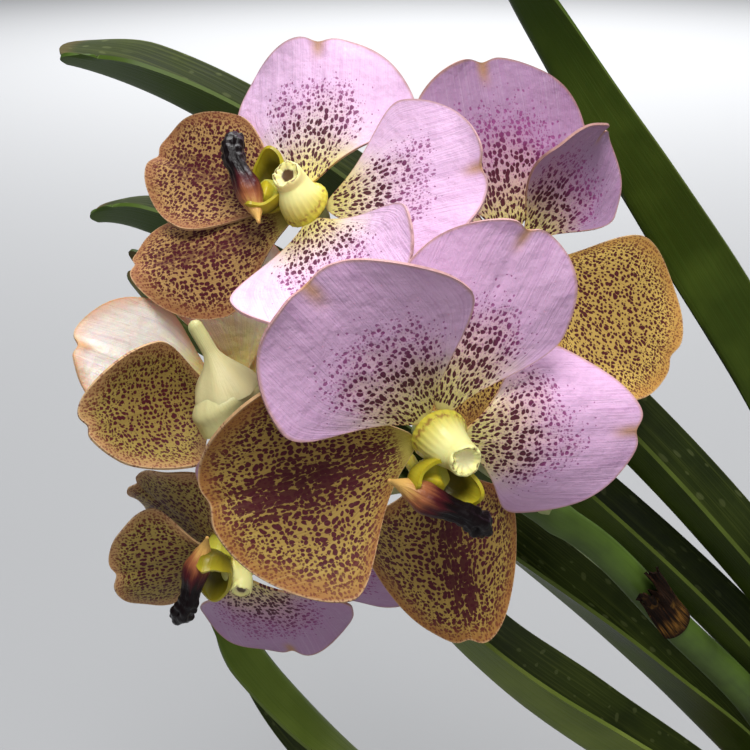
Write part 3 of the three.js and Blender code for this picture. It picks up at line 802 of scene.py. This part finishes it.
def middle_lobe_skin():
    w = Skin("middle_lobe_skin", Roughness=0.36, Specular_IOR_Level=0.2)
    v, u = w.chart("laid")
    lines = veins(w, v, u, 7, 3)
    reach = w.add(u, w.swing(lines, 0.3))
    ground = w.layers(
        "#dfb061",
        (w.ramp(reach, 0.1, 0.3), "#a0603c"),
        (w.ramp(reach, 0.26, 0.42), "#4c161c"),
        (w.ramp(reach, 0.38, 0.54), "#0e0406"),
    )
    return w.painted(ground, w.add(lines, w.times(mottle(w, 1.6), 0.6)), 0.0006, 0.7)


def column_skin(name, cap_colour, ripe=0.0):
    """A column with a pleated foot, a dotted hem, a dark seam under the cap, and a browned cap if ripe."""
    w = Skin(name, Roughness=0.36, Subsurface_Weight=0.15, Subsurface_Scale=0.002, Specular_IOR_Level=0.35)
    v, u = w.chart("laid")
    pleats = w.math("SINE", w.times(v, pi * PLEATS))
    wander = w.swing(mottle(w, 2), 0.08)
    hem = w.times(w.bump_of(w.add(u, w.times(pleats, 0.01)), 0.25, 0.04), w.ramp(mottle(w, 1.5), 0.4, 0.6))
    seam = w.bump_of(w.add(u, w.times(wander, 1.4)), 0.82, 0.022)
    ground = w.layers(
        "#ddd04a",
        (w.ramp(u, 0.2, 0.5), "#fbf6a4"),
        (w.times(w.ramp(pleats, 0.2, 1.0, 0.0, 0.2), w.ramp(u, 0.25, 0.45, 1.0, 0.0)), "#9a9436"),
        (w.times(hem, 0.7), "#8a3c30"),
        (w.times(seam, w.ramp(mottle(w, 3), 0.38, 0.55, 0.1, 1.0)), "#6e3a14"),
        (w.ramp(u, 0.86, 0.9), cap_colour),
    )
    if ripe:
        ground = w.blend(w.ramp(w.add(u, wander), 0.9, 0.93, 0.0, ripe), ground, "#4a2410")
    ribs = w.times(w.times(pleats, 0.2), w.ramp(u, 0.3, 0.6, 1.0, 0.0))
    return w.painted(ground, w.add(ribs, mottle(w, 2.5)), 0.0004, 0.3)


def clay():
    """Fired clay with turning lines, a damp foot and a bloom of lime half way up."""
    w = Skin("clay", Specular_IOR_Level=0.3)
    height = w.split(w.put("TexCoord").outputs["Object"])[2]
    cloud = mottle(w, 34, 5)
    speckle = mottle(w, 1.8, 3)
    turning = w.noise(w.vector(0.0, 0.0, w.times(height, 900)), 1.0, 2.0)
    damp = w.ramp(w.add(height, w.times(cloud, 0.02)), 0.008, 0.045, 1.0, 0.0)
    band = w.bump_of(w.add(height, w.times(cloud, 0.03)), 0.062, 0.03)
    lime = w.times(band, w.ramp(mottle(w, 9, 5), 0.5, 0.7))
    ground = w.layers(
        "#9d5334",
        (w.ramp(cloud, 0.3, 0.7), "#bf7350"),
        (w.ramp(speckle, 0.55, 0.75, 0.0, 0.35), "#d79a78"),
        (w.times(damp, 0.45), "#6b3722"),
        (w.times(lime, 0.45), "#d9c6b2"),
    )
    w.feed(w.shader["Roughness"], w.ramp(cloud, 0.3, 0.7, 0.75, 0.92))
    grit = w.add(w.times(turning, 0.7), w.add(w.times(speckle, 0.6), cloud))
    return w.painted(ground, grit, 0.0005, 0.4)


def bark_skin():
    w = Skin("bark_skin", Roughness=0.9, Specular_IOR_Level=0.25)
    shade, own = w.chart("shade")
    place = w.put("TexCoord").outputs["Object"]
    grain = w.noise(w.put("Mapping", {"Vector": place, "Scale": (1.0, 3.2, 2.0)}).outputs[0], 420, 4.0, 0.7)
    ground = w.blend(shade, "#3a2415", "#8a5c36")
    ground = w.blend(w.ramp(grain, 0.35, 0.7), ground, w.blend(own, "#24160e", "#6b4630"))
    return w.painted(ground, grain, 0.0012, 0.8)


ROSE_FACES = {
    "bloom_1": rose_face("rose_face_usual", "#e3cab8", "#dbb0d4"),
    # Bloom 2 takes a paler copy of the rose face: painted light, as it faces up to the lamp. Its larger,
    # sparser spots are its own.
    "bloom_2": rose_face(
        "rose_face_pale", "#f4e4dc", "#efc6ea", seed=5.0, reach_to=0.85, cell=1.65, spread=0.75
    ),
    # Blooms 3 and 5 take a darker copy of the rose face: painted shade, as they are turned away from the
    # lamp. Their wider spread of spots is their own.
    "bloom_3": rose_face(
        "rose_face_deep", "#cdb0ae", "#b08aac", seed=11.0, reach_to=0.9, cell=1.6, spread=1.0
    ),
    # Bloom 4's near-white colours are painted light shining through its tepals from behind.
    "bloom_4": rose_face("rose_face_warm", "#f8f0c4", "#fdeae0", spotted=0.0, seed=17.0, warm=0.6, glow=0.5),
}
ROSE_FACES["bloom_5"] = ROSE_FACES["bloom_3"]
TAWNY_FACES = {
    "bloom_1": tawny_face("tawny_face_usual", "#b0924a", "#a5703c", dark=0.2, band=0.95, seed=2.0),
    "bloom_2": tawny_face("tawny_face_dark", "#bd955e", "#a4704a", dark=0.2, band=0.6, seed=6.0),
    "bloom_3": tawny_face("tawny_face_gold", "#d8b560", "#c9954e", seed=8.0),
    "bloom_4": tawny_face("tawny_face_dotted", "#a08c48", "#b58a5e", seed=14.0),
}
TAWNY_FACES["bloom_5"] = TAWNY_FACES["bloom_4"]
ROSE_BACK = tepal_back(
    "rose_back", ("#dfd5a0", "#dcbfd8", "#b68fbb", "#d6cf9c"), 13, 7, 0.35, 0.7, 0.4, 0.6,
    Subsurface_Weight=0.22, Subsurface_Scale=0.0025, Specular_IOR_Level=0.35,
)
TAWNY_BACK = tepal_back(
    "tawny_back", ("#a8a45c", "#b08a58", "#8f6a46", "#c2b070"), 12, 2, 0.5, 0.75, 0.5, 0.0,
    Subsurface_Weight=0.12, Subsurface_Scale=0.002,
)
LEAF_FACE = leaf_face("leaf_inner_face", "#34420f", "#4c5c1c")
LIT_LEAF_FACE = leaf_face("lit_leaf_inner_face", "#5c6a26", "#76843a")
LEAF_BACK = leaf_back("leaf_outer_face", "#222c08", "#343f10")
SPIKE_SKIN = streaked("spike_skin", "#36490e", "#4f691a", 9, 0.6, 0.0004, 26)
FOOTSTALK_SKIN = streaked("footstalk_skin", "#8d9a58", "#c3c28a", 6, 0.45, 0.0003, 9)
SHEATH_SKIN = streaked("sheath_skin", "#47552a", "#6d7a3f", 12, 0.5, 0.0006, 18, (0.82, 1.0, 0.9, "#8a734a"))
ROOT_SKIN = streaked("root_skin", "#8f9384", "#bcbdaa", 5, 0.85, 0.0006, 7, (0.93, 0.985, 1.0, "#6f8a3a"))
BRACT_SKIN = bract_skin()
SIDE_LOBE_OUT = side_lobe_skin("side_lobe_outside", "#d6c22c", "#b9b33e")
# Inside the bowl the colour darkens away from the rim: painted shade in the hollow.
SIDE_LOBE_IN = side_lobe_skin("side_lobe_inside", "#b3a524", "#5c5210", 0.6)
PALE_LOBE_OUT = side_lobe_skin("pale_lobe_outside", "#e6d9a4", "#c3bd7e", 0.3, 0.95)
PALE_SPUR_SKIN = side_lobe_skin("pale_spur", "#c9c687", "#dcd29c", 0.2)
MIDDLE_LOBE_SKIN = middle_lobe_skin()
COLUMN_SKIN = column_skin("column_skin", "#fbf1b4")
COLUMN_RIPE_SKIN = column_skin("column_ripe_skin", "#eee3a4", 0.95)
CLAY = clay()
BARK_SKIN = bark_skin()


# Leaves


def leaf(name, height, first, second, tip, width, roll):
    side = copysign(1, tip[0])
    curve = [Vector(p) for p in ((side * (SHEATH_REACH - 3), 0, height), first, second, tip)]
    seed = height * 0.37

    def heading(t):
        r = 1 - t
        start, middle, end = (q - p for p, q in zip(curve, curve[1:]))
        return (start * (r * r) + middle * (2 * r * t) + end * (t * t)).normalized()

    def place(u, v):
        bite = 0.015 * bell(v, 0.3) + 0.012 * v + 0.04 * v**4
        t = u * (1 - bite * u**12)
        along = heading(t)
        sideways = Quaternion(along, radians(side * lerp(*roll, u))) @ Vector((0, side, 0))
        sideways = (sideways - along * sideways.dot(along)).normalized()
        inward = along.cross(sideways)
        taper = smooth(u, -0.25, 0.22) * (1 - 0.22 * smooth(u, 0.45, 0.95))
        taper *= 1 - 0.45 * smooth(u, 0.9, 1.03)
        half = width / 2 * taper
        fold = radians(LEAF_FOLD * (1.2 - 0.2 * smooth(u, 0, 0.3) - 0.35 * smooth(u, 0.75, 1)))
        raised = sqrt(v * v + 0.01) - 0.1
        waver = 0.5 * bumpy(seed, v * 0.8, u * 7) * smooth(u, 0.05, 0.2)
        up = half * raised * sin(fold) + waver
        return cubic(curve, t) + sideways * (half * v * cos(fold)) + inward * up

    piece = thickened(grid(name, 90, 20, place), LEAF_THICKNESS, even=False)
    return finished(piece, name, "leaf", LIT_LEAF_FACE if name in LIT_LEAVES else LEAF_FACE, LEAF_BACK)


# Stem: a core with a thin flared sheath under each leaf


def sheath(name, height, side):
    def place(u, v):
        angle = pi * v
        reach = lerp(STEM_RADIUS, SHEATH_REACH - 3, u) + 0.8 * sin(pi * u) * 0.4
        depth = lerp(STEM_RADIUS, STEM_RADIUS + 1.5, u)
        x = side * lerp(1.5, 3, u) + reach * cos(angle)
        slant = 5 * u * u * side * cos(angle)
        return Vector((x, depth * sin(angle), height - SHEATH_HEIGHT * (1 - u) + slant))

    return thickened(edited(grid(name, 16, 40, place), CLOSE_SEAM, FACE_OUT), SHEATH_THICKNESS)


def stem():
    heights = [(values[0], copysign(1, values[3][0])) for values in LEAVES.values()]
    highest = max(height for height, _ in heights)
    core_line = Line([(0, 0, STEM_FOOT), (0, 0, 180), (0, 0, highest + 6)])

    def radius(t):
        return (STEM_RADIUS - 0.6) * (1 - 0.5 * smooth(t, 0.93, 1))

    core = rolled("stem_core", core_line, radius, 32, 60)
    pieces = [core] + [sheath(f"sheath_{k}", height, side) for k, (height, side) in enumerate(heights)]
    return finished(joined("stem", pieces), "stem", "stem", SHEATH_SKIN, SHEATH_SKIN)


# Roots


def root(name, points):
    line = Line(points)
    seed = points[1][0] * 0.13

    def radius(t):
        lumps = 0.35 * bumpy(seed, t * line.length / 9, 0)
        return (ROOT_RADIUS * (1 - 0.3 * smooth(t, 0.85, 0.95)) + lumps) * round_end(t, 0.955)

    piece = rolled(name, line, radius, 18, 110, lambda t, a: 1 + 0.03 * sin(3 * a + 20 * t))
    return finished(piece, name, "root", ROOT_SKIN)


# Tepals


def disc(u, v):
    """A square's point laid on a round disc, so that a grid gets a tepal's round rim."""
    y = 2 * u - 1
    return v * sqrt(1 - y * y / 2), y * sqrt(1 - v * v / 2)


def tepal_half_width(width, share):
    return width / 2 * (CLAW + (1 - CLAW) * smooth(share, 0, 0.55))


def tepal(bloom, part, stand_at, form, face, back):
    length, width = form["length"], form["width"]
    cup, arch = form["cup"], form["arch"]
    sweep, twist = form.get("sweep", 0), form.get("twist", 0)
    turn, pitch, lift = radians(form["turn"]), radians(form["pitch"]), form["lift"]
    start = HUB_RADIUS + (1 if lift > 0 else 0.4)
    stand = stand_at @ Matrix.Translation(turned(start, turn, lift))
    stand = stand @ Matrix.Rotation(turn, 4, "Z") @ Matrix.Rotation(-pitch, 4, "Y")
    seed = form["turn"] * 0.21 + length * 1.3

    def place(u, v):
        x, y = disc(u, v)
        rim = x * x + y * y
        share = (y + 1) / 2
        across = x * tepal_half_width(width, share)
        centre = bell(x, 0.12)
        along = share * length - 1.6 * centre * smooth(share, 0.8, 1)
        ruffle = 1.3 * rim * rim * share * sin(5 * atan2(x, y))
        height = 4 * cup * across * across / width - arch * length * share * share + ruffle
        height -= 0.35 * centre * share + 0.25 * bell(x, 0.06) * share
        height += 0.35 * rim * bumpy(x * 3.1 + seed, y * 3.1, 0) * share
        height += 0.25 * smooth(rim, 0.86, 1) * share
        angle = radians(twist * share)
        aside = sweep * length * share * share + across * cos(angle) - height * sin(angle)
        return stand @ Vector((along, aside, across * sin(angle) + height * cos(angle)))

    def flat(u, v):
        x, y = disc(u, v)
        share = (y + 1) / 2
        return x * (0.45 * width / 2 + 0.55 * tepal_half_width(width, share)), share * length

    name = f"{bloom}_{part}"
    piece = grid(name, 46, 46, place, {"flat": flat, "fan": disc})
    # The grid's own normal is the back of the tepal, so the faces are turned before the sheet gets thick.
    thickened(edited(piece, TURN_OVER), TEPAL_THICKNESS)
    return finished(piece, name, "tawny_sepal" if part.startswith("lateral") else "rose_tepal", face, back)


# Lip and column


def moved(piece, matrix):
    """Puts a piece that was made in a bloom's own frame where the bloom is."""
    shift = matrix.copy()
    shift.translation = matrix.translation * MM
    piece.data.transform(shift)
    return piece


def lip_bowl(name, side, full):
    """The side lobes run together into a bowl: a tall curling ear on one side and a wide cup opposite."""

    def place(u, v):
        turn = pi * v
        wall = sin(u * pi / 2) ** 0.8
        ear = max(0.0, cos(turn) if side < 0 else -cos(turn)) ** 2
        cup = cos(turn) ** 2 - ear
        front = max(0.0, -sin(turn)) ** 3
        rise = 6 + 3.8 * ear + 2.4 * cup - 2.4 * front + 0.35 * sin(6 * turn + 1)
        rise = lerp(rise, 8.5 - 2 * front, full)
        curl = smooth(u, 0.72, 1) * (0.16 * cup - 0.2 * ear) - 0.3 * full * smooth(u, 0.6, 1)
        reach = wall * (1 + curl) * (1 + 0.1 * full * cos(2 * turn))
        deep = (5.4 + 2.2 * full) * reach * sin(turn)
        return Vector((side + 8.4 * reach * cos(turn), -9.2 + deep, 2.4 + rise * u**1.7))

    return thickened(edited(grid(name, 26, 56, place), CLOSE_SEAM), BOWL_THICKNESS)


def middle_lobe(name, yaw, tilt):
    line = Line([(-13, 0.4, 1.2), (-8, 0.4, -0.4), (0, 0, 0.6), (8, 0.4, 1.4), (14, -0.6, 0), (17, -2, -3)])

    def radius(t):
        fleshy = 0.5 + 3.1 * smooth(t, 0, 0.34) - 1.1 * smooth(t, 0.36, 0.58) + 0.5 * smooth(t, 0.6, 0.75)
        return (fleshy - 1.2 * smooth(t, 0.8, 1)) * round_end(t, 0.95)

    def ridged(t, angle):
        ridge = 0.16 * abs(sin(2.5 * angle)) * smooth(t, 0.15, 0.45)
        wart = smooth(t, 0.5, 0.72)
        bumps = (0.08 + 0.2 * wart) * noise.noise(turned(1.8, angle, t * 14))
        return 0.92 + ridge + 0.05 * sin(80 * t) * wart + bumps

    piece = rolled(name, line, radius, 44, 100, ridged)
    aimed = Matrix.Rotation(radians(yaw - 90), 4, "Z") @ Matrix.Rotation(-radians(tilt), 4, "Y")
    return moved(piece, Matrix.Translation((0, -13, 9.8)) @ aimed)


def lip(name, bloom, stand_at):
    yaw = bloom["lip_yaw"]
    swing = Matrix.Rotation(radians(bloom.get("lip_turn", 0)), 4, "Z")
    swing = swing @ Matrix.Rotation(radians(bloom.get("lip_tilt", 0)), 4, "X")
    size = Matrix.Scale(bloom.get("lip_size", 1), 4)
    stand = stand_at @ Matrix.Translation(bloom.get("lip_shift", (0, 0, 0))) @ swing @ size
    full = 1 if bloom.get("lip_tilt") else 0
    base_line = Line([(0, -6.2, 1.6), (0, -9.5, 3), (0, -12, 6)])
    base = rolled(f"{name}_lip_base", base_line, lambda t: (2.6 + 1.3 * t) * round_end(t, 0.85), 20, 30)

    def spur_radius(t):
        return (4.6 + 2.6 * full - (3 + 2.6 * full) * smooth(t, 0, 0.6)) * round_end(t, 0.9)

    spur_line = Line([(0, -9, 5), (0, -10.5, -3), (0, -9.5, -12)])

    def spur_ribs(t, angle):
        return 1 + 0.06 * sin(7 * angle) * (1 - t)

    spur = rolled(f"{name}_spur", spur_line, spur_radius, 28, 50, spur_ribs)
    pieces = [base, spur, lip_bowl(f"{name}_bowl", copysign(1, yaw), full)]
    for piece in pieces:
        piece.data.materials.append(SIDE_LOBE_OUT)
        piece.data.materials.append(SIDE_LOBE_IN)
    if full:
        for face in spur.data.polygons:
            face.material_index = 1
    bowl = moved(joined(f"{name}_lip", pieces), stand)
    looks = (PALE_LOBE_OUT, PALE_SPUR_SKIN) if full else (SIDE_LOBE_OUT, SIDE_LOBE_IN)
    finished(bowl, f"{name}_lip", "lip", *looks)
    tongue = moved(middle_lobe(f"{name}_middle_lobe", yaw, bloom.get("tongue_tilt", 0)), stand)
    finished(tongue, f"{name}_lip", "lip", MIDDLE_LOBE_SKIN)


# The column's outline as share of its line and radius: hem, waist, cap, rim and the shallow dish in its end
COLUMN_OUTLINE = [
    (0, 4), (0, 6.4), (0.06, 6.8), (0.25, 6.1), (0.5, 5), (0.7, 4.2), (0.86, 4), (0.96, 3.9),
    (1, 3.5), (0.97, 2.9), (0.91, 1.8), (0.88, 0.2),
]


def column(name, bloom, stand_at, skin):
    x, y = bloom.get("column_lean", (3.4 * copysign(1, bloom["lip_yaw"]), -1.6))
    line = Line([(0, 0.6, 0.2), (0.2 * x, 0.2 * y, 3.6), (x, y, 8), (x * 1.15, y * 1.15, 11.4)])
    outline = Line([(share * COLUMN_LENGTH, radius, 0) for share, radius in COLUMN_OUTLINE])
    frames = carried_frames(line, COLUMN_STEPS)

    def place(u, v):
        height, radius, _ = outline.at(u)
        share = height / COLUMN_LENGTH
        _, side, other = frames[round(min(max(share, 0), 1) * COLUMN_STEPS)]
        angle = pi * v
        pleat = 1 + 0.008 * sin(PLEATS * angle) * (1 - smooth(u, 0.2, 0.5)) * smooth(u, 0.02, 0.1)
        rim = smooth(u, 0.7, 0.84) * (1 - smooth(u, 0.84, 0.95))
        ragged = 1.3 * noise.noise(turned(1.3, angle, x)) + 0.5 * noise.noise(turned(4, angle, y))
        at = line.at(share) + side.cross(other) * (rim * ragged)
        return on_ring(at, side, other, 0 if u in (0, 1) else radius * pleat, angle)

    size = Matrix.Scale(bloom.get("column_size", 1), 4)
    piece = moved(welded(grid(f"{name}_column", 80, 92, place)), stand_at @ size)
    return finished(piece, f"{name}_column", "column", skin)


# Flower spike and its bract

STALK = Line(SPIKE_LINE)


def stalk_radius(t):
    return SPIKE_RADIUS * (1 - 0.4 * t)


def bloom_frame(bloom):
    azimuth, height = (radians(angle) for angle in bloom["faces"])
    level = Vector((cos(azimuth), sin(azimuth), 0))
    facing = Vector((sin(azimuth) * cos(height), -cos(azimuth) * cos(height), sin(height)))
    basis = Matrix((level, facing.cross(level), facing)).transposed().to_4x4()
    return Matrix.Translation(bloom["at"]) @ basis @ Matrix.Rotation(-radians(bloom["roll"]), 4, "Z")


def flower_spike():
    def knuckled(t):
        lumps = sum(0.5 * bell(t - bloom["stalk_from"], 0.012) for bloom in BLOOMS.values())
        return stalk_radius(t) + lumps

    def swelling(t):
        return lerp(FOOTSTALK_RADIUS, HUB_RADIUS, smooth(t, 0.72, 0.97))

    pieces = [rolled("stalk", STALK, knuckled, 28, 200)]
    pieces[0].data.materials.append(SPIKE_SKIN)
    for name, bloom in BLOOMS.items():
        matrix = bloom_frame(bloom)
        start = STALK.at(bloom["stalk_from"])
        behind = matrix @ Vector((0, 0, -20))
        line = Arc(start, start.lerp(behind, 0.6), behind, matrix @ Vector((0, 0, -2 * GAP)))
        ribbed = rolled(f"{name}_footstalk", line, swelling, 24, 80, lambda t, a: 1 + 0.05 * cos(6 * a))
        ribbed.data.materials.append(FOOTSTALK_SKIN)
        pieces.append(ribbed)
    return finished(joined("flower_spike", pieces), "flower_spike", "spike", SPIKE_SKIN, FOOTSTALK_SKIN)


def bract():
    def place(u, v):
        t = lerp(*BRACT_SPAN, u)
        along = STALK.heading(t)
        outward = Vector((0.35, -1, 0.5))
        outward = (outward - along * outward.dot(along)).normalized()
        outward.rotate(Quaternion(along, radians(v * (80 - 40 * u))))
        wave = bumpy(v * 3.4, 0.5, 2)
        fringe = bumpy(v * 11, 0.5, 4)
        t += 0.02 * u * wave + 0.008 * u * fringe
        tear = 1.2 * u * sin(9 * v) + 1.4 * u * bumpy(v * 4, u * 3, 1)
        return STALK.at(t) + outward * (stalk_radius(t) + GAP + 0.5 + 2.6 * u * u + tear * u)

    piece = thickened(grid("spike_bract", 24, 30, place), BRACT_THICKNESS)
    return finished(piece, "spike_bract", "bract", BRACT_SKIN, BRACT_SKIN)


# Pot: its profile turned about the axis, with drain holes cut through the foot


def pot():
    foot, mouth, wall, top = POT_FOOT_RADIUS, POT_MOUTH_RADIUS, POT_WALL, POT_HEIGHT
    rim, inner = mouth + POT_RIM_PROUD, mouth - wall
    shoulder = top - POT_RIM_BAND

    def wall_at(z):
        return lerp(foot, mouth, z / top)

    neck = wall_at(shoulder)
    profile = [
        (0, 0), (foot * 0.6, 0), (foot - 1.5, 0), (foot - 0.4, 0.4), (foot, 1.5),
        (wall_at(shoulder / 2), shoulder / 2), (neck - 0.1, shoulder - 0.5), (neck, shoulder),
        (neck + POT_RIM_PROUD - 0.6, shoulder + 0.5), (neck + POT_RIM_PROUD, shoulder + 1.6),
        (rim, top - 2), (rim - 0.5, top - 0.6), (rim - 2, top), (inner + 1.5, top),
        (inner + 0.3, top - 0.6), (inner, top - 2), (foot - wall, wall + 1), (foot - wall - 3, wall),
        (0, wall),
    ]
    rows = len(profile) - 1

    def place(u, v):
        radius, height = profile[round(u * rows)]
        return turned(radius, pi * v, height)

    piece = welded(grid("pot", rows, 128, place))
    for k in range(DRAIN_COUNT):
        turn = 2 * pi * k / DRAIN_COUNT
        at = (DRAIN_RING * cos(turn) * MM, DRAIN_RING * sin(turn) * MM, 0)
        cylinder = bpy.ops.mesh.primitive_cylinder_add
        drill = added(cylinder, vertices=40, radius=DRAIN_RADIUS * MM, depth=4 * wall * MM, location=at)
        apply_modifier(piece, "BOOLEAN", operation="DIFFERENCE", object=drill, solver="EXACT")
        bpy.data.objects.remove(drill)
    smoothed(piece, 35)
    return finished(piece, "pot", "clay", CLAY)


# Bark: a filling with loose chips lying over its top


def shaded(piece, shades):
    """Gives a whole piece one pair of values in the UV map that its skin reads its shade from."""
    layer = piece.data.uv_layers[0]
    layer.name = "shade"
    for uv in layer.data:
        uv.uv = shades


def bark_chip(name, rng, size):
    chip = added(bpy.ops.mesh.primitive_cube_add, size=1)
    chip.name = name
    chip.data.transform(Matrix.Diagonal((*(s * MM for s in size), 1)))
    edited(chip, (bpy.ops.mesh.subdivide, {"number_cuts": 3}))
    seed = Vector((rng.uniform(0, 99), rng.uniform(0, 99), rng.uniform(0, 99)))
    for vertex in chip.data.vertices:
        away = noise.noise_vector(vertex.co / (7 * MM) + seed)
        rounding = 1 - 0.16 * (vertex.co.length / (max(size) * MM)) ** 2
        vertex.co = vertex.co * rounding + away * 1.7 * MM
    shaded(chip, (rng.random(), rng.random()))
    return chip


def potting_bark():
    rng = random.Random(BARK_SEED)
    # The chips' noise starts from the clock unless it is given a seed.
    noise.seed_set(BARK_SEED)
    mouth = POT_MOUTH_RADIUS - POT_WALL - 1.2

    def place(u, v):
        angle = pi * v
        foot = POT_FOOT_RADIUS - POT_WALL - 1.5
        height = lerp(POT_WALL + GAP, BARK_FILL_TOP - 2, min(1, u / BARK_SIDE))
        if u <= BARK_SIDE:
            return turned(lerp(foot, mouth - 4, u / BARK_SIDE), angle, height)
        radius = (mouth - 4) * min(1.0, 2.2 * (1 - u))
        rise = 2.2 * bumpy(radius * cos(angle) / 9, radius * sin(angle) / 9, 0)
        return turned(radius, angle, height + rise)

    pieces = [welded(grid("bark_filling", 40, 60, place))]
    shaded(pieces[0], (0.1, 0.1))
    for k in range(CHIP_COUNT):
        size = (rng.uniform(13, 24), rng.uniform(9, 16), rng.uniform(4, 9))
        chip = bark_chip(f"chip_{k}", rng, size)
        ring = sqrt(rng.uniform(0.02, 1.0))
        turn = rng.uniform(0, 2 * pi)
        spin = Matrix.Rotation(rng.uniform(0, 2 * pi), 4, "Z")
        rock = Matrix.Rotation(rng.uniform(-0.5, 0.5), 4, "X")
        rock = rock @ Matrix.Rotation(rng.uniform(-0.4, 0.4), 4, "Y")
        lay = BARK_FILL_TOP + rng.uniform(-2, CHIP_TOP - BARK_FILL_TOP)
        at = Matrix.Translation(turned((mouth - 12.5) * ring, turn, lay) * MM)
        chip.data.transform(at @ spin @ rock)
        pieces.append(chip)
    piece = smoothed(joined("potting_bark", pieces), 40)
    return finished(piece, "potting_bark", "bark", BARK_SKIN)


# Making everything

for leaf_name, leaf_values in LEAVES.items():
    leaf(leaf_name, *leaf_values)
stem()
for root_name, root_points in ROOTS.items():
    root(root_name, root_points)
flower_spike()
bract()
pot()
potting_bark()
for bloom_name, bloom_values in BLOOMS.items():
    matrix = bloom_frame(bloom_values)
    for part_name, usual in USUAL_TEPALS.items():
        lateral = part_name.startswith("lateral")
        face = (TAWNY_FACES if lateral else ROSE_FACES)[bloom_name]
        back = TAWNY_BACK if lateral else ROSE_BACK
        if bloom_name == SEEN_FROM_BEHIND:
            back = face
        tepal(bloom_name, part_name, matrix, {**usual, **bloom_values[part_name]}, face, back)
    lip(bloom_name, bloom_values, matrix)
    column(bloom_name, bloom_values, matrix, COLUMN_RIPE_SKIN if bloom_name in RIPE_BLOOMS else COLUMN_SKIN)


# Floor, light and camera


def floor():
    ground = added(bpy.ops.mesh.primitive_plane_add, size=60)
    ground.name = "floor"
    skin = Skin("pale_floor", Roughness=0.9, Specular_IOR_Level=0.2, Base_Color="#a2a3a5")
    ground.data.materials.append(skin.material)


def hung(name, data, at):
    body = bpy.data.objects.new(name, data)
    body.location = at
    bpy.context.scene.collection.objects.link(body)
    return body


def soft_light(name, at, aim, size, power, spread):
    light = bpy.data.lights.new(name, "AREA")
    light.shape = "DISK"
    light.size = size
    light.energy = power
    light.spread = radians(spread)
    lamp = hung(name, light, at)
    lamp.rotation_euler = (Vector(aim) - Vector(at)).to_track_quat("-Z", "Y").to_euler()


def world():
    sky = bpy.data.worlds.new("studio")
    sky.use_nodes = True
    background = sky.node_tree.nodes["Background"]
    background.inputs["Color"].default_value = colour("#e8eaee")
    background.inputs["Strength"].default_value = 0.2
    bpy.context.scene.world = sky
    bpy.context.scene.view_settings.view_transform = "Standard"


def camera():
    eye = bpy.data.cameras.new("photo_camera")
    eye.sensor_width = 36
    eye.angle = radians(CAMERA_ANGLE)
    eye.clip_start = 0.01
    body = hung("photo_camera", eye, CAMERA_AT)
    body.rotation_euler = (radians(90 - CAMERA_DOWN), 0, 0)
    bpy.context.scene.camera = body


floor()
world()
for light_name, light_values in LIGHTS.items():
    soft_light(light_name, *light_values)
camera()
